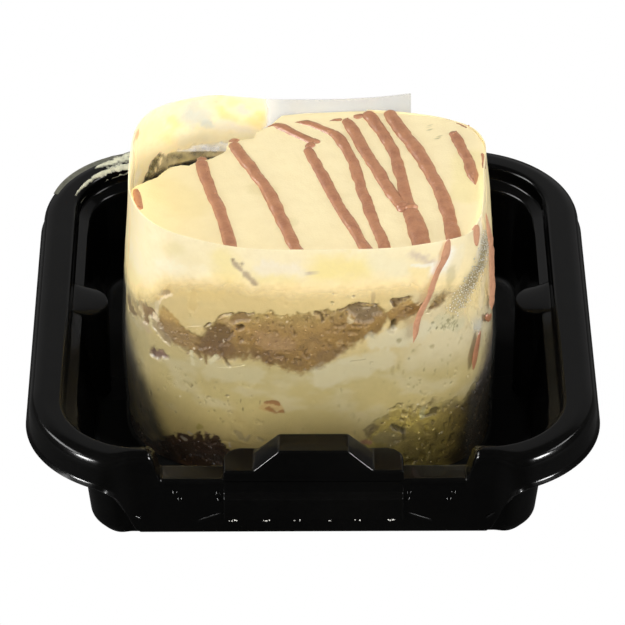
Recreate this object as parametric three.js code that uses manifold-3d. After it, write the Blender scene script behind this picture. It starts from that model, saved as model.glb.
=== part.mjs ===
// Single-serve tres leches cake: a small layered milk cake, wrapped in a clear film collar,
// standing in its square black thermoformed tray. Millimetres, +Z up, front towards -Y.
// The origin lies at the underside, in the middle of the overall width and depth.

import * as THREE from 'three';
import { mergeVertices } from 'three/addons/utils/BufferGeometryUtils.js';
import Module from 'manifold-3d';

// ---------------------------------------------------------------- driving dimensions

const TRAY = {
  sheet: 0.8,            // wall of the formed sheet
  lipHalf: 70,           // half the outer width, at the lip of the skirt
  lipCorner: 29.8,       // plan radius of the lip's corners
  lipZ: 25.3,            // height of the skirt's lower edge
  rimZ: 33.1,            // height of the flat band round the rim
  openHalf: 60.6,        // half the opening inside the band
  openCorner: 19.6,      // plan radius of the opening's corners
  ledgeZ: 28,            // small step that the lid's plug lands on
  ledgeHalf: 57.4,
  footHalf: 53.7,        // half the inner width just above the floor
  footCorner: 8.4,
};

const NOTCH = {
  outerX: 39.2,          // where the band ends, each side of the front
  innerX: 36.4,          // where the sill begins
  sillZ: 25,             // height of the sill
  sillFront: 64,         // distance of the sill's front edge from the centre
  skirtZ: 19.2,          // height of the skirt's lower edge under the sill
  swingX: 52,            // where the skirt starts to swing in from the corner
  settleX: 43,           // where it has settled
};

const PANEL = {
  outerX: 48.5,          // where the corner foot ends
  innerX: 44,            // where the front panel is flat
  top: 52.7,             // distance of the panel from the centre, high up
  bottom: 52.1,          // the same, at the floor
};

const RIB = { centreY: 6, radius: 6.1, axisX: 57.4, corners: 40 };

const LATCH = {
  halfWidth: 21.6,       // platform and front tab
  back: 54.9,            // distances from the centre
  front: 64,
  tabFront: 65.6,
  platformZ: 28,
  bossZ: 33.8,
  bossTop: 8.3,          // half widths of the boss at its top and its foot
  bossFoot: 14.4,
  creaseZ: 19.6,         // where the torn tab steps forward
  tabZ: 13.4,            // lower edge of the torn tab
  cornerCut: 3.6,
};

const CAKE = {
  centre: [-0.8, 1],
  halfX: 43.8,
  front: 32.5,           // half depths, to the front and to the back
  back: 31,
  backTrim: 1.2,         // how much shallower the back runs towards the right corner
  bulge: 1.8,            // how far front and back swell between floor and top
  belly: 2.4,            // how far the two sides swell, low down
  footIn: 0.6,           // how far the sides draw in again at the floor
  taper: 2.8,            // how far they draw in towards the top
  lean: 1.9,             // how far the top of the right side leans in
  topZ: 64.5,            // height of the top face at the middle
  topSlopeX: 0.04,
  topSlopeY: 0.065,
  gap: 0.3,              // clearance between neighbouring pieces
};

// Roundness of each quarter of the plan outline: a higher number is a squarer corner.
const CAKE_SQUARENESS = { backRight: 4.1, backLeft: 2.6, frontLeft: 2.7, frontRight: 3.4 };
const FILM_SQUARENESS = { backRight: 3.2, backLeft: 3.2, frontLeft: 2.8, frontRight: 3.4 };

// The broken back-left edge: a line in plan that the top of the cake doesn't pass.
const BREAK = { from: [-43.5, 7], to: [-12, 31.5], jag: 0.8, healedBy: 6 };

const FILM = {
  thickness: 0.4,
  stand: 0.5,            // clearance between cake and film
  topZ: 70.5,
  rightDrop: 2.8,        // how much lower its top edge runs at the right
  freeAngle: 69.5,       // degrees, where the loose tail ends
  innerAngle: 444,       // degrees, where the covered end lies, one turn later
  tailLift: 5,           // how far the tail's end springs away from the cake
  backLeftExtra: 3.6,    // how far it stands off the broken corner
  backRightExtra: 0.6,   // and off the back-right corner, where it is a single layer
};

const COLUMNS = { cake: 44, film: 76, corner: 9 };

// ---------------------------------------------------------------- small helpers

const lerp = (a, b, t) => a + (b - a) * t;

// 0 at `from`, 1 at `to`, eased at both ends; `from` may be the larger number.
function smooth(from, to, x) {
  const t = THREE.MathUtils.clamp((x - from) / (to - from), 0, 1);
  return t * t * (3 - 2 * t);
}

function meshFrom(points, faces) {
  const geometry = new THREE.BufferGeometry();
  geometry.setAttribute('position', new THREE.Float32BufferAttribute(points.flat(), 3));
  geometry.setIndex(faces.flat());
  return geometry;
}

// Joins rows of points, each row a closed ring with the same count, into quads split in two.
// From row `turn` on, the quads are split along their other diagonal.
function skinRows(rows, turn = rows.length) {
  const count = rows[0].length;
  const faces = [];
  for (let row = 0; row < rows.length - 1; row += 1) {
    for (let column = 0; column < count; column += 1) {
      const a = row * count + column;
      const b = row * count + ((column + 1) % count);
      const c = a + count;
      const d = b + count;
      if (row < turn) faces.push([a, b, d], [a, d, c]);
      else faces.push([a, b, c], [b, d, c]);
    }
  }
  return faces;
}

function flipped(faces) {
  return faces.map(([a, b, c]) => [a, c, b]);
}

// A closed body from rows of rings: the first and the last row are closed by a fan to a point.
function closedBody(rows, firstPole, lastPole, turn) {
  const count = rows[0].length;
  const points = rows.flat();
  const faces = skinRows(rows, turn);
  const first = points.push(firstPole) - 1;
  const last = points.push(lastPole) - 1;
  const end = (rows.length - 1) * count;
  for (let column = 0; column < count; column += 1) {
    const next = (column + 1) % count;
    faces.push([first, next, column], [last, end + column, end + next]);
  }
  return meshFrom(points, faces);
}

// ---------------------------------------------------------------- the tray's plan

// A column is a place on the way round the tray. Straight columns keep their own coordinate;
// corner columns are a share of the way round the corner.
function frontStops() {
  const half = [8, 24.5, 30, NOTCH.innerX, 37.8, NOTCH.outerX - 0.45];
  return [...half.map((x) => -x).reverse(), ...half];
}

function sideStops() {
  const { centreY, radius } = RIB;
  const rib = [-1.02, -0.86, -0.5, 0, 0.5, 0.86, 1.02].map((share) => centreY + radius * share);
  return [-38.75, -34, ...rib, 34, 38.75];
}

function trayColumns() {
  const columns = [];
  const straight = (side, stops) => stops.forEach((stop) => columns.push({ side, stop }));
  const corner = (side) => {
    for (let k = 1; k < COLUMNS.corner; k += 1) {
      columns.push({ side, share: k / COLUMNS.corner, corner: true });
    }
  };
  straight('front', frontStops());
  corner(0);
  straight('right', sideStops());
  corner(1);
  straight('back', [38.75, 0, -38.75]);
  corner(2);
  straight('left', sideStops().reverse());
  corner(3);
  return columns;
}

// Plan position of a column on a rounded square of half width `half` and corner radius `radius`.
function planPoint(column, half, radius) {
  if (!column.corner) {
    const { stop } = column;
    return { front: [stop, -half], right: [half, stop], back: [stop, half],
      left: [-half, stop] }[column.side];
  }
  const lead = half - radius - 38.75;
  const arc = (radius * Math.PI) / 2;
  const way = column.share * (2 * lead + arc);
  let local;
  if (way < lead) {
    local = [38.75 + way, -half];
  } else if (way < lead + arc) {
    const angle = -Math.PI / 2 + (way - lead) / radius;
    local = [half - radius + radius * Math.cos(angle), -(half - radius) + radius * Math.sin(angle)];
  } else {
    local = [half, -(half - radius) + (way - lead - arc)];
  }
  let [x, y] = local;
  for (let turn = 0; turn < column.side; turn += 1) [x, y] = [-y, x];
  return [x, y];
}

// ---------------------------------------------------------------- the tray's section

// Each station is one line round the tray, from the lip of the skirt over the rim to the floor.
// `front` and `frontZ` say where the line runs through the notch at the front.
function trayStations() {
  const { lipHalf, lipCorner, lipZ, rimZ, openHalf, openCorner, ledgeZ, ledgeHalf, footHalf,
    footCorner } = TRAY;
  const { sillZ, sillFront, skirtZ } = NOTCH;
  const band = lipHalf - 3.6;
  return [
    { half: lipHalf, radius: lipCorner, z: lipZ, swing: [64.8, skirtZ], front: [sillFront - 0.7, skirtZ] },
    { half: lipHalf - 0.7, radius: lipCorner - 0.2, z: lipZ + 0.9, swing: [64.9, skirtZ + 1],
      front: [sillFront, skirtZ + 0.8] },
    { half: lipHalf - 1.1, radius: lipCorner, z: rimZ - 2.3, swing: [64.7, rimZ - 2.3],
      front: [sillFront + 0.1, sillZ - 1.2] },
    { half: lipHalf - 1.8, radius: lipCorner - 0.2, z: rimZ - 0.7, swing: [64.2, rimZ - 0.7],
      front: [sillFront - 0.1, sillZ - 0.4] },
    { half: band, radius: lipCorner - 1, z: rimZ, swing: [63, rimZ], front: [sillFront - 0.5, sillZ] },
    { half: openHalf + 0.8, radius: openCorner + 0.4, z: rimZ, front: [58.2, sillZ] },
    { half: openHalf, radius: openCorner, z: rimZ - 0.7, front: [57.6, sillZ - 0.3] },
    { half: openHalf - 0.4, radius: openCorner - 0.4, z: ledgeZ + 1.4, front: [57.2, sillZ - 1] },
    { half: ledgeHalf, radius: 15.6, z: ledgeZ, front: [56, sillZ - 2.4], rib: true },
    { half: ledgeHalf - 0.4, radius: 15, z: ledgeZ - 1, front: [PANEL.top, sillZ - 4.6],
      rib: true, panel: PANEL.top, belly: 1 },
    { half: footHalf, radius: footCorner, z: 2.6, rib: true, panel: PANEL.bottom, belly: 1 },
    { half: footHalf - 1.7, radius: footCorner - 1.4, z: TRAY.sheet, rib: true,
      panel: PANEL.bottom - 1, belly: 1 },
  ];
}

function trayPoint(station, column) {
  let [x, y] = planPoint(column, station.half, station.radius);
  let { z } = station;
  const side = Math.abs(x);
  if (station.belly && Math.abs(y) < RIB.corners && side > 40) {
    x += Math.sign(x) * 1.2 * smooth(RIB.corners, 34, Math.abs(y));
  }
  if (station.rib && side > 40 && Math.abs(y - RIB.centreY) < RIB.radius) {
    const reach = RIB.axisX - Math.sqrt(RIB.radius ** 2 - (y - RIB.centreY) ** 2);
    x = Math.sign(x) * Math.min(Math.abs(x), reach);
  }
  if (y > 0 || side >= NOTCH.swingX) return [x, y, z];
  if (station.panel) {
    y = lerp(y, -station.panel, smooth(PANEL.outerX, PANEL.innerX, side));
  }
  if (station.swing) {
    const share = smooth(NOTCH.swingX, NOTCH.settleX, side);
    y = lerp(y, -station.swing[0], share);
    z = lerp(z, station.swing[1], share);
  }
  if (station.front) {
    const share = smooth(NOTCH.outerX, NOTCH.innerX, side);
    y = lerp(y, -station.front[0], share);
    z = lerp(z, station.front[1], share);
  }
  return [x, y, z];
}

// The underside lies one sheet thickness behind the top side, measured along the surface's normal.
function underside(rows, thickness) {
  const count = rows[0].length;
  const at = (row, column) => new THREE.Vector3(...rows[row][(column + count) % count]);
  const faceNormal = (row, column) => {
    const a = at(row, column);
    const across = at(row + 1, column + 1).sub(a);
    const other = at(row + 1, column).sub(at(row, column + 1));
    return across.cross(other).normalize();
  };
  return rows.map((ring, row) => ring.map((point, column) => {
    const normals = [];
    for (const r of [row - 1, row]) {
      if (r < 0) continue;
      for (const c of [column - 1, column]) {
        normals.push(r < rows.length - 1 ? faceNormal(r, c) : new THREE.Vector3(0, 0, 1));
      }
    }
    const mean = normals.reduce((sum, n) => sum.add(n), new THREE.Vector3()).normalize();
    const spread = normals.reduce((sum, n) => sum + n.dot(mean), 0) / normals.length;
    const reach = thickness / Math.max(spread, 0.7);
    return [point[0] - mean.x * reach, point[1] - mean.y * reach, point[2] - mean.z * reach];
  }));
}

function traySheet() {
  const columns = trayColumns();
  const top = trayStations().map((station) => columns.map((column) => trayPoint(station, column)));
  const under = underside(top, TRAY.sheet);
  under[under.length - 1].forEach((point) => { point[2] = 0; });
  const rows = [...under.reverse(), ...top];
  return closedBody(rows, [0, 0, 0], [0, 0, TRAY.sheet]);
}

// ---------------------------------------------------------------- the latch on the sill

// A prism along Y from a section in X and Z.
function prismAlongY(section, front, back) {
  const shape = new THREE.Shape(section.map(([x, z]) => new THREE.Vector2(x, z)));
  const geometry = new THREE.ExtrudeGeometry(shape, { depth: front - back, bevelEnabled: false });
  return geometry.rotateX(Math.PI / 2).translate(0, -back, 0);
}

// A prism along Z from a plan with its two back corners cut off.
function platformPrism(halfWidth, back, front, low, high) {
  const cut = LATCH.cornerCut;
  const plan = [
    [-halfWidth, -front], [halfWidth, -front],
    [halfWidth, -back - cut], [halfWidth - 0.3 * cut, -back - 0.3 * cut], [halfWidth - cut, -back],
    [cut - halfWidth, -back], [0.3 * cut - halfWidth, -back - 0.3 * cut], [-halfWidth, -back - cut],
  ];
  const shape = new THREE.Shape(plan.map(([x, y]) => new THREE.Vector2(x, y)));
  return new THREE.ExtrudeGeometry(shape, { depth: high - low, bevelEnabled: false }).translate(0, 0, low);
}

function latchSolid(solid, inset, low) {
  const { halfWidth, back, front, platformZ, bossZ, bossTop, bossFoot } = LATCH;
  const platform = solid(platformPrism(halfWidth - inset, back + inset, front - inset, low,
    platformZ - inset));
  const section = [
    [-bossFoot + inset, low], [bossFoot - inset, low], [bossFoot - inset, platformZ - inset],
    [bossTop - inset / 2, bossZ - inset], [-bossTop + inset / 2, bossZ - inset],
    [-bossFoot + inset, platformZ - inset],
  ];
  return platform.add(solid(prismAlongY(section, front - inset, back + 1.7 + inset)));
}

function tabSolid(solid) {
  const { halfWidth, front, tabFront, creaseZ, tabZ } = LATCH;
  const wall = TRAY.sheet;
  const plate = new THREE.BoxGeometry(2 * halfWidth, wall, NOTCH.sillZ - creaseZ);
  plate.translate(0, -front + wall / 2, (NOTCH.sillZ + creaseZ) / 2);
  const step = new THREE.BoxGeometry(2 * halfWidth, tabFront - front + wall, wall);
  step.translate(0, -(tabFront + front - wall) / 2, creaseZ);
  const tab = new THREE.BoxGeometry(2 * halfWidth, wall, creaseZ - tabZ);
  tab.translate(0, -tabFront + wall / 2, (creaseZ + tabZ) / 2);
  return solid(plate).add(solid(step)).add(solid(tab));
}

async function trayGeometry() {
  const wasm = await Module();
  wasm.setup();
  const solid = (geometry) => {
    const bare = geometry.clone();
    bare.deleteAttribute('normal');
    bare.deleteAttribute('uv');
    const merged = mergeVertices(bare, 1e-4);
    return new wasm.Manifold(new wasm.Mesh({
      numProp: 3,
      vertProperties: new Float32Array(merged.attributes.position.array),
      triVerts: new Uint32Array(merged.index.array),
    }));
  };
  const wall = TRAY.sheet;
  const sheet = solid(traySheet());
  const filled = sheet.add(latchSolid(solid, 0, NOTCH.sillZ - wall / 2)).add(tabSolid(solid));
  const opened = filled.subtract(latchSolid(solid, wall, NOTCH.sillZ - 3 * wall));
  const { vertProperties, triVerts } = opened.getMesh();
  const geometry = new THREE.BufferGeometry();
  geometry.setAttribute('position', new THREE.BufferAttribute(vertProperties, 3));
  geometry.setIndex(new THREE.BufferAttribute(triVerts, 1));
  return geometry;
}

// ---------------------------------------------------------------- the cake's outline

function quarter(angle) {
  const turn = ((angle % 360) + 360) % 360;
  return ['backRight', 'backLeft', 'frontLeft', 'frontRight'][Math.floor(turn / 90)];
}

function swell(z) {
  return CAKE.bulge * Math.sin(Math.PI * THREE.MathUtils.clamp(z / 76, 0, 1)) ** 0.8;
}

// The same for the left and right sides, which are widest low down and lean in at the right.
function sideSwell(angle, z) {
  const turn = ((((angle + 180) % 360) + 360) % 360) - 180;
  const lean = CAKE.lean * smooth(58, 70.5, z) * smooth(-46, -20, turn) * smooth(20, -8, turn);
  return CAKE.belly - CAKE.footIn * smooth(22, 0, z) - CAKE.taper * smooth(20, 78, z) - lean;
}

// A point of the rounded outline, `extra` outside it, at a height.
function outlinePoint(angle, z, extra, squareness) {
  const radians = THREE.MathUtils.degToRad(angle);
  const power = 2 / squareness[quarter(angle)];
  const cos = Math.cos(radians);
  const sin = Math.sin(radians);
  const width = CAKE.halfX + extra + sideSwell(angle, z);
  const trim = cos > 0 ? CAKE.backTrim * smooth(92, 62, ((angle % 360) + 360) % 360) : 0;
  const depth = (sin > 0 ? CAKE.back - trim : CAKE.front) + extra + swell(z);
  return [
    CAKE.centre[0] + width * Math.sign(cos) * Math.abs(cos) ** power,
    CAKE.centre[1] + depth * Math.sign(sin) * Math.abs(sin) ** power,
  ];
}

// The same, pulled in where the back-left edge of the cake has broken away.
function cakePoint(angle, z) {
  const [x, y] = outlinePoint(angle, z, 0, CAKE_SQUARENESS);
  const [cx, cy] = CAKE.centre;
  const [fx, fy] = BREAK.from;
  const length = Math.hypot(BREAK.to[0] - fx, BREAK.to[1] - fy);
  const normal = [-(BREAK.to[1] - fy) / length, (BREAK.to[0] - fx) / length];
  const past = (px, py) => (px - fx) * normal[0] + (py - fy) * normal[1];
  const ragged = BREAK.jag * Math.sin(angle * 0.42 + z * 0.3);
  const allowed = ragged + BREAK.healedBy * smooth(50, 12, z);
  if (past(x, y) <= allowed) return [x, y];
  const share = (allowed - past(cx, cy)) / (past(x, y) - past(cx, cy));
  return [lerp(cx, x, share), lerp(cy, y, share)];
}

// ---------------------------------------------------------------- the faces between layers

const topFace = (x, y) => CAKE.topZ + CAKE.topSlopeX * x + CAKE.topSlopeY * y;

// Sponge and lower cream meet in a line that climbs to the right.
const spongeBottom = (x, y) => 36 + 12.5 * smooth(2, 27, x + 0.1 * y) + 1.2 * Math.sin(x * 0.33 + y * 0.21);

// Sponge and top cream: it sags at the left.
function spongeTop(x, y) {
  const sag = 8 * smooth(-20, -42, x + 0.1 * y);
  return 51.6 + 0.06 * x - sag + 0.5 * Math.sin(x * 0.4 - y * 0.27);
}

const baseTop = (x, y) => 11 + 7.5 * smooth(8, 24, x - 0.1 * y) + 0.9 * Math.sin(x * 0.3 + y * 0.35);

const floorFace = () => TRAY.sheet + CAKE.gap;

// One layer: a bottom face, a side that follows the outline, and a top face.
function layerGeometry(bottom, top, sideSteps) {
  const angles = Array.from({ length: COLUMNS.cake }, (_, k) => (k * 360) / COLUMNS.cake);
  const shares = [0.42, 0.78, 1];
  const [cx, cy] = CAKE.centre;
  const edge = (angle, face) => {
    let z = face(cx, cy);
    for (let pass = 0; pass < 3; pass += 1) z = face(...cakePoint(angle, z));
    return cakePoint(angle, z);
  };
  const ring = (face, share) => angles.map((angle) => {
    const [x, y] = edge(angle, face).map((value, axis) => lerp(CAKE.centre[axis], value, share));
    return [x, y, face(x, y)];
  });
  const low = shares.map((share) => ring(bottom, share));
  const high = shares.map((share) => ring(top, share)).reverse();
  const side = [];
  for (let step = 1; step < sideSteps; step += 1) {
    side.push(angles.map((angle, column) => {
      const z = lerp(low[shares.length - 1][column][2], high[0][column][2], step / sideSteps);
      return [...cakePoint(angle, z), z];
    }));
  }
  const rows = [...low, ...side, ...high];
  const turn = low.length + side.length;
  return closedBody(rows, [cx, cy, bottom(cx, cy)], [cx, cy, top(cx, cy)], turn);
}

const raised = (face, by) => (x, y) => face(x, y) + by;

// ---------------------------------------------------------------- the film collar

// How far the film stands outside the cake's outline, by the angle along the strip.
function filmStand(angle) {
  const { stand, tailLift, backLeftExtra, backRightExtra, freeAngle, thickness } = FILM;
  const overlap = 1.5 * thickness * smooth(128, 96, angle);
  const along = THREE.MathUtils.clamp((89 - angle) / (89 - freeAngle), 0, 1);
  const corner = backLeftExtra * smooth(92, 112, angle) * smooth(176, 128, angle);
  const rightCorner = backRightExtra * smooth(354, 374, angle) * smooth(414, 388, angle);
  return stand + overlap + tailLift * along ** 1.6 + corner + rightCorner;
}

// Its upper edge runs level round the front, and a little lower at the right.
const filmTop = (angle) => FILM.topZ - FILM.rightDrop * smooth(296, 350, angle);

function filmGeometry() {
  const rows = [floorFace(), 18, 38, 56, FILM.topZ];
  const angles = Array.from({ length: COLUMNS.film }, (_, k) =>
    lerp(FILM.freeAngle, FILM.innerAngle, k / (COLUMNS.film - 1)));
  const strip = (extra) => rows.map((height) => angles.map((angle) => {
    const squareness = angle < 360 ? FILM_SQUARENESS : CAKE_SQUARENESS;
    const z = Math.min(height, filmTop(angle));
    return [...outlinePoint(angle, z, filmStand(angle) + extra, squareness), z];
  }));
  const outer = strip(FILM.thickness);
  const inner = strip(0);
  const sections = angles.map((_, column) => [
    ...rows.map((__, row) => outer[row][column]),
    ...rows.map((__, row) => inner[rows.length - 1 - row][column]),
  ]);
  const count = sections[0].length;
  const faces = flipped(skinRows(sections));
  const end = (sections.length - 1) * count;
  for (let row = 0; row < rows.length - 1; row += 1) {
    const quad = [row, row + 1, count - 2 - row, count - 1 - row];
    faces.push([quad[0], quad[1], quad[2]], [quad[0], quad[2], quad[3]]);
    const far = quad.map((index) => index + end);
    faces.push([far[0], far[2], far[1]], [far[0], far[3], far[2]]);
  }
  return meshFrom(sections.flat(), faces);
}

// ---------------------------------------------------------------- the model

function piece(name, geometry, colour, roughness) {
  const material = new THREE.MeshStandardMaterial({ color: colour, roughness, metalness: 0 });
  const mesh = new THREE.Mesh(geometry, material);
  mesh.name = name;
  return mesh;
}

const half = CAKE.gap / 2;
const cake = new THREE.Group();
cake.add(piece('tray', await trayGeometry(), 0x0b0b0b, 0.18));
cake.add(piece('sponge_base', layerGeometry(floorFace, raised(baseTop, -half), 2), 0x9c7a3c, 0.8));
cake.add(piece('cream_lower', layerGeometry(raised(baseTop, half), raised(spongeBottom, -half), 2),
  0xf0e0a8, 0.6));
cake.add(piece('sponge_middle', layerGeometry(raised(spongeBottom, half), raised(spongeTop, -half),
  2), 0xb28a52, 0.8));
cake.add(piece('cream_top', layerGeometry(raised(spongeTop, half), topFace, 2), 0xf5e6b0, 0.55));
cake.add(piece('film_collar', filmGeometry(), 0xe8eceb, 0.12));

// The front of the tray is a little shallower than its back, so the whole is slid along Y until
// the middle of its overall depth is at the origin.
const overall = new THREE.Box3().setFromObject(cake);
cake.position.y = -(overall.min.y + overall.max.y) / 2;

export default cake;
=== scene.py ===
# %% [markdown]
# # A tres leches cake in its film collar and tray
# This lesson dresses a measured CAD model. The model holds six solids: a black tray, two layers
# of sponge, two layers of cream and a clear film collar. They could be shown as they are, but
# they are made of flat facets with one colour each. So every solid gets a finer stand-in here,
# built from the same dimensions, and the solids stay hidden as the fixed frame.

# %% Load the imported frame
import math

import bpy
import numpy as np
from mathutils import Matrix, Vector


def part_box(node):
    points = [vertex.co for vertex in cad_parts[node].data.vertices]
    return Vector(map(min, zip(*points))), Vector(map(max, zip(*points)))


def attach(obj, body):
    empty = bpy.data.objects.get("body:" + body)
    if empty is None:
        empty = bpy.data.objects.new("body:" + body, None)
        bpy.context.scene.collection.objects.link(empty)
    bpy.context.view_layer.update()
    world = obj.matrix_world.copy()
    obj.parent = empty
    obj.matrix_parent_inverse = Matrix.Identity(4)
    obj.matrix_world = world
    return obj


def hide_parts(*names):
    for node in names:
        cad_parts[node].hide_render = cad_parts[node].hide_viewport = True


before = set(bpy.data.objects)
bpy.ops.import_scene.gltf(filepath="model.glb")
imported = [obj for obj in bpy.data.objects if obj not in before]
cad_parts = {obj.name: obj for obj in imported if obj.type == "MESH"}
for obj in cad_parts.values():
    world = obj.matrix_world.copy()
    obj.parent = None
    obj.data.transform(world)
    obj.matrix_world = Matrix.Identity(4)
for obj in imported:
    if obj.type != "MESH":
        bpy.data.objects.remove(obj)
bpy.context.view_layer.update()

HALF_TRAY = 70.0
slide_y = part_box("tray")[1].y - HALF_TRAY / 1000
print("nodes", sorted(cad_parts), "middle of the tray at y", round(slide_y * 1000, 2), "mm")

# %% [markdown]
# ## Millimetres in, metres out
# Blender works in metres here, but a cake is easier to describe in millimetres. All numbers below
# are millimetres from the middle of the tray's rim, and one helper turns them into metres and
# slides them to where the frame holds the tray.

# %% Units, eased steps and colours
def in_metres(points):
    placed = np.array(points, dtype=float) * 0.001
    placed[..., 1] += slide_y
    return placed


def eased(start, end, value):
    """0 at start, 1 at end, soft at both ends. start may be the larger number."""
    share = np.clip((value - start) / (end - start), 0.0, 1.0)
    return share * share * (3.0 - 2.0 * share)


def tone(code):
    """A colour written as six hex digits, as the linear numbers a shader works with."""
    parts = np.array([int(code[k:k + 2], 16) for k in (0, 2, 4)]) / 255.0
    return np.where(parts <= 0.04045, parts / 12.92, ((parts + 0.055) / 1.055) ** 2.4)


def stir(colours, share, other):
    """Blends another colour in by a share between 0 and 1."""
    share = share[..., None]
    return colours * (1 - share) + other * share


print("cream in linear numbers", tone("f6e4b2").round(3))

# %% [markdown]
# ## Clouds of random numbers
# Cake, cream and smears are never even. A lattice of random numbers, blended softly between its
# corners, gives hills and hollows of a chosen size. The seed is fixed, so each run is the same.

# %% Smooth random values
def cloud(points, size, seed, octaves=3):
    points = np.asarray(points, dtype=float)
    total, whole, strength = 0.0, 0.0, 1.0
    for octave in range(octaves):
        lattice = np.random.default_rng(seed * 31 + octave).uniform(-1, 1, (24, 24, 24))
        place = points / (size * 0.5 ** octave)
        corner = np.floor(place).astype(int)
        share = place - corner
        share = share * share * (3 - 2 * share)
        value = 0.0
        for step in np.ndindex(2, 2, 2):
            weight = np.prod(np.where(np.array(step) == 1, share, 1 - share), axis=-1)
            a, b, c = np.moveaxis((corner + step) % 24, -1, 0)
            value = value + weight * lattice[a, b, c]
        total, whole, strength = total + strength * value, whole + strength, strength * 0.5
    return total / whole


print("cloud sample", cloud([[1.0, 2.0, 3.0]], 4.0, 1).round(3))

# %% [markdown]
# ## Meshes from rows of points
# Formed sheet, film and cake layers all have the same build: rows of points that run round the
# piece, stitched into squares. A subdivision cage would need far more hand work for the same
# control, so three small helpers do the stitching.

# %% Stitch rows into squares
def squares(rows, columns, round_rows=False, round_columns=True, first=0):
    r, c = np.meshgrid(np.arange(rows if round_rows else rows - 1),
                       np.arange(columns if round_columns else columns - 1), indexing="ij")
    up, on = (r + 1) % rows, (c + 1) % columns
    quads = np.stack([r * columns + c, r * columns + on, up * columns + on, up * columns + c], axis=-1)
    return (quads.reshape(-1, 4) + first).tolist()


def make_piece(name, points, faces, material, crease=50):
    mesh = bpy.data.meshes.new(name)
    mesh.from_pydata(in_metres(points).tolist(), [], faces)
    mesh.materials.append(material)
    mesh.polygons.foreach_set("use_smooth", [True] * len(mesh.polygons))
    mesh.set_sharp_from_angle(angle=math.radians(crease))
    piece = bpy.data.objects.new(name, mesh)
    bpy.context.scene.collection.objects.link(piece)
    print(name, len(mesh.vertices), "points,", len(mesh.polygons), "faces")
    return piece


def closed_rows(rows, first_point, last_point):
    """Points and faces of a body from rings of points, with a fan to a point at each end."""
    count, columns = rows.shape[0], rows.shape[1]
    points = np.concatenate([rows.reshape(-1, 3), [first_point, last_point]])
    start, end, base = len(points) - 2, len(points) - 1, (count - 1) * columns
    faces = squares(count, columns)
    for column in range(columns):
        following = (column + 1) % columns
        faces += [[start, following, column], [end, base + column, base + following]]
    return points, faces


# %% [markdown]
# A thin sheet needs a back as well as a front. The back is the same rows, moved along the
# surface's own direction. A Solidify modifier could do it, but here the edges must stay exact.

# %% Give a sheet its thickness
def directions(rows, round_columns):
    if round_columns:
        along = np.roll(rows, -1, axis=1) - np.roll(rows, 1, axis=1)
    else:
        along = np.gradient(rows, axis=1)
    facing = np.cross(along, np.gradient(rows, axis=0))
    return facing / np.maximum(np.linalg.norm(facing, axis=-1, keepdims=True), 1e-9)


def closed_strip(rows, thickness):
    """Points and faces of a sheet that doesn't close on itself. The given rows are its outer side."""
    inner = rows - directions(rows, False) * thickness
    section = np.concatenate([rows, inner[::-1]])
    count, columns = section.shape[0], section.shape[1]
    faces = squares(count, columns, round_rows=True, round_columns=False)
    for row in range(rows.shape[0] - 1):
        a, b = row * columns, (row + 1) * columns
        c, d = (count - 2 - row) * columns, (count - 1 - row) * columns
        end = columns - 1
        faces += [[a, b, c, d], [d + end, c + end, b + end, a + end]]
    return section.reshape(-1, 3), faces


def rounded(rows, reach, steps=4):
    """Softens each bend from row to row: a corner is cut back by its reach and bridged by an arc."""
    result = [rows[0]]
    for k in range(1, len(rows) - 1):
        back, ahead = rows[k - 1] - rows[k], rows[k + 1] - rows[k]
        back_length = np.linalg.norm(back, axis=-1, keepdims=True)
        ahead_length = np.linalg.norm(ahead, axis=-1, keepdims=True)
        start = rows[k] + back * np.minimum(reach[k] / np.maximum(back_length, 1e-6), 0.46)
        end = rows[k] + ahead * np.minimum(reach[k] / np.maximum(ahead_length, 1e-6), 0.46)
        for step in range(steps + 1):
            t = step / steps
            result.append((1 - t) ** 2 * start + 2 * t * (1 - t) * rows[k] + t * t * end)
    result.append(rows[-1])
    return np.array(result)


# %% [markdown]
# ## Numbers and colours kept on a mesh
# Some finishes are worked out point by point, so the result has to travel with the mesh. An
# attribute keeps one number or one colour for each point, and a tree of nodes reads it by its
# name. A baked picture could do the same, but an attribute needs no unwrapping.

# %% Store numbers and colours
def set_value(piece, name, values):
    layer = piece.data.attributes.new(name, "FLOAT", "POINT")
    layer.data.foreach_set("value", np.ravel(values).astype(np.float32))


def set_tint(piece, colours):
    layer = piece.data.color_attributes.new("tint", "FLOAT_COLOR", "POINT")
    whole = np.concatenate([colours, np.ones((len(colours), 1))], axis=-1)
    layer.data.foreach_set("color", whole.astype(np.float32).ravel())


# %% [markdown]
# ## Small tools for node trees
# Materials and Geometry Nodes are both trees of nodes. One helper adds a node, fills in its
# sockets and links whatever is handed over as a socket. It keeps the trees below short to read.

# %% Add and link nodes
def fill_in(tree, made, inputs):
    """Fills in sockets by name: a socket is linked, and a value or a colour's six digits are set."""
    for key, value in inputs.items():
        if isinstance(value, bpy.types.NodeSocket):
            tree.links.new(value, made.inputs[key])
        elif made.inputs[key].type == "RGBA" and isinstance(value, str):
            made.inputs[key].default_value = (*tone(value), 1)
        else:
            made.inputs[key].default_value = value


def node(tree, kind, inputs=None, **settings):
    made = tree.nodes.new(kind)
    for key, value in settings.items():
        setattr(made, key, value)
    fill_in(tree, made, inputs or {})
    return made


def blend_colours(tree, factor, first, second):
    return node(tree, "ShaderNodeMix", {0: factor, 6: first, 7: second}, data_type="RGBA").outputs[2]


def maths(tree, operation, first, second=0.0, clamp=False):
    sockets = {0: first, 1: second}
    return node(tree, "ShaderNodeMath", sockets, operation=operation, use_clamp=clamp).outputs[0]


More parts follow.
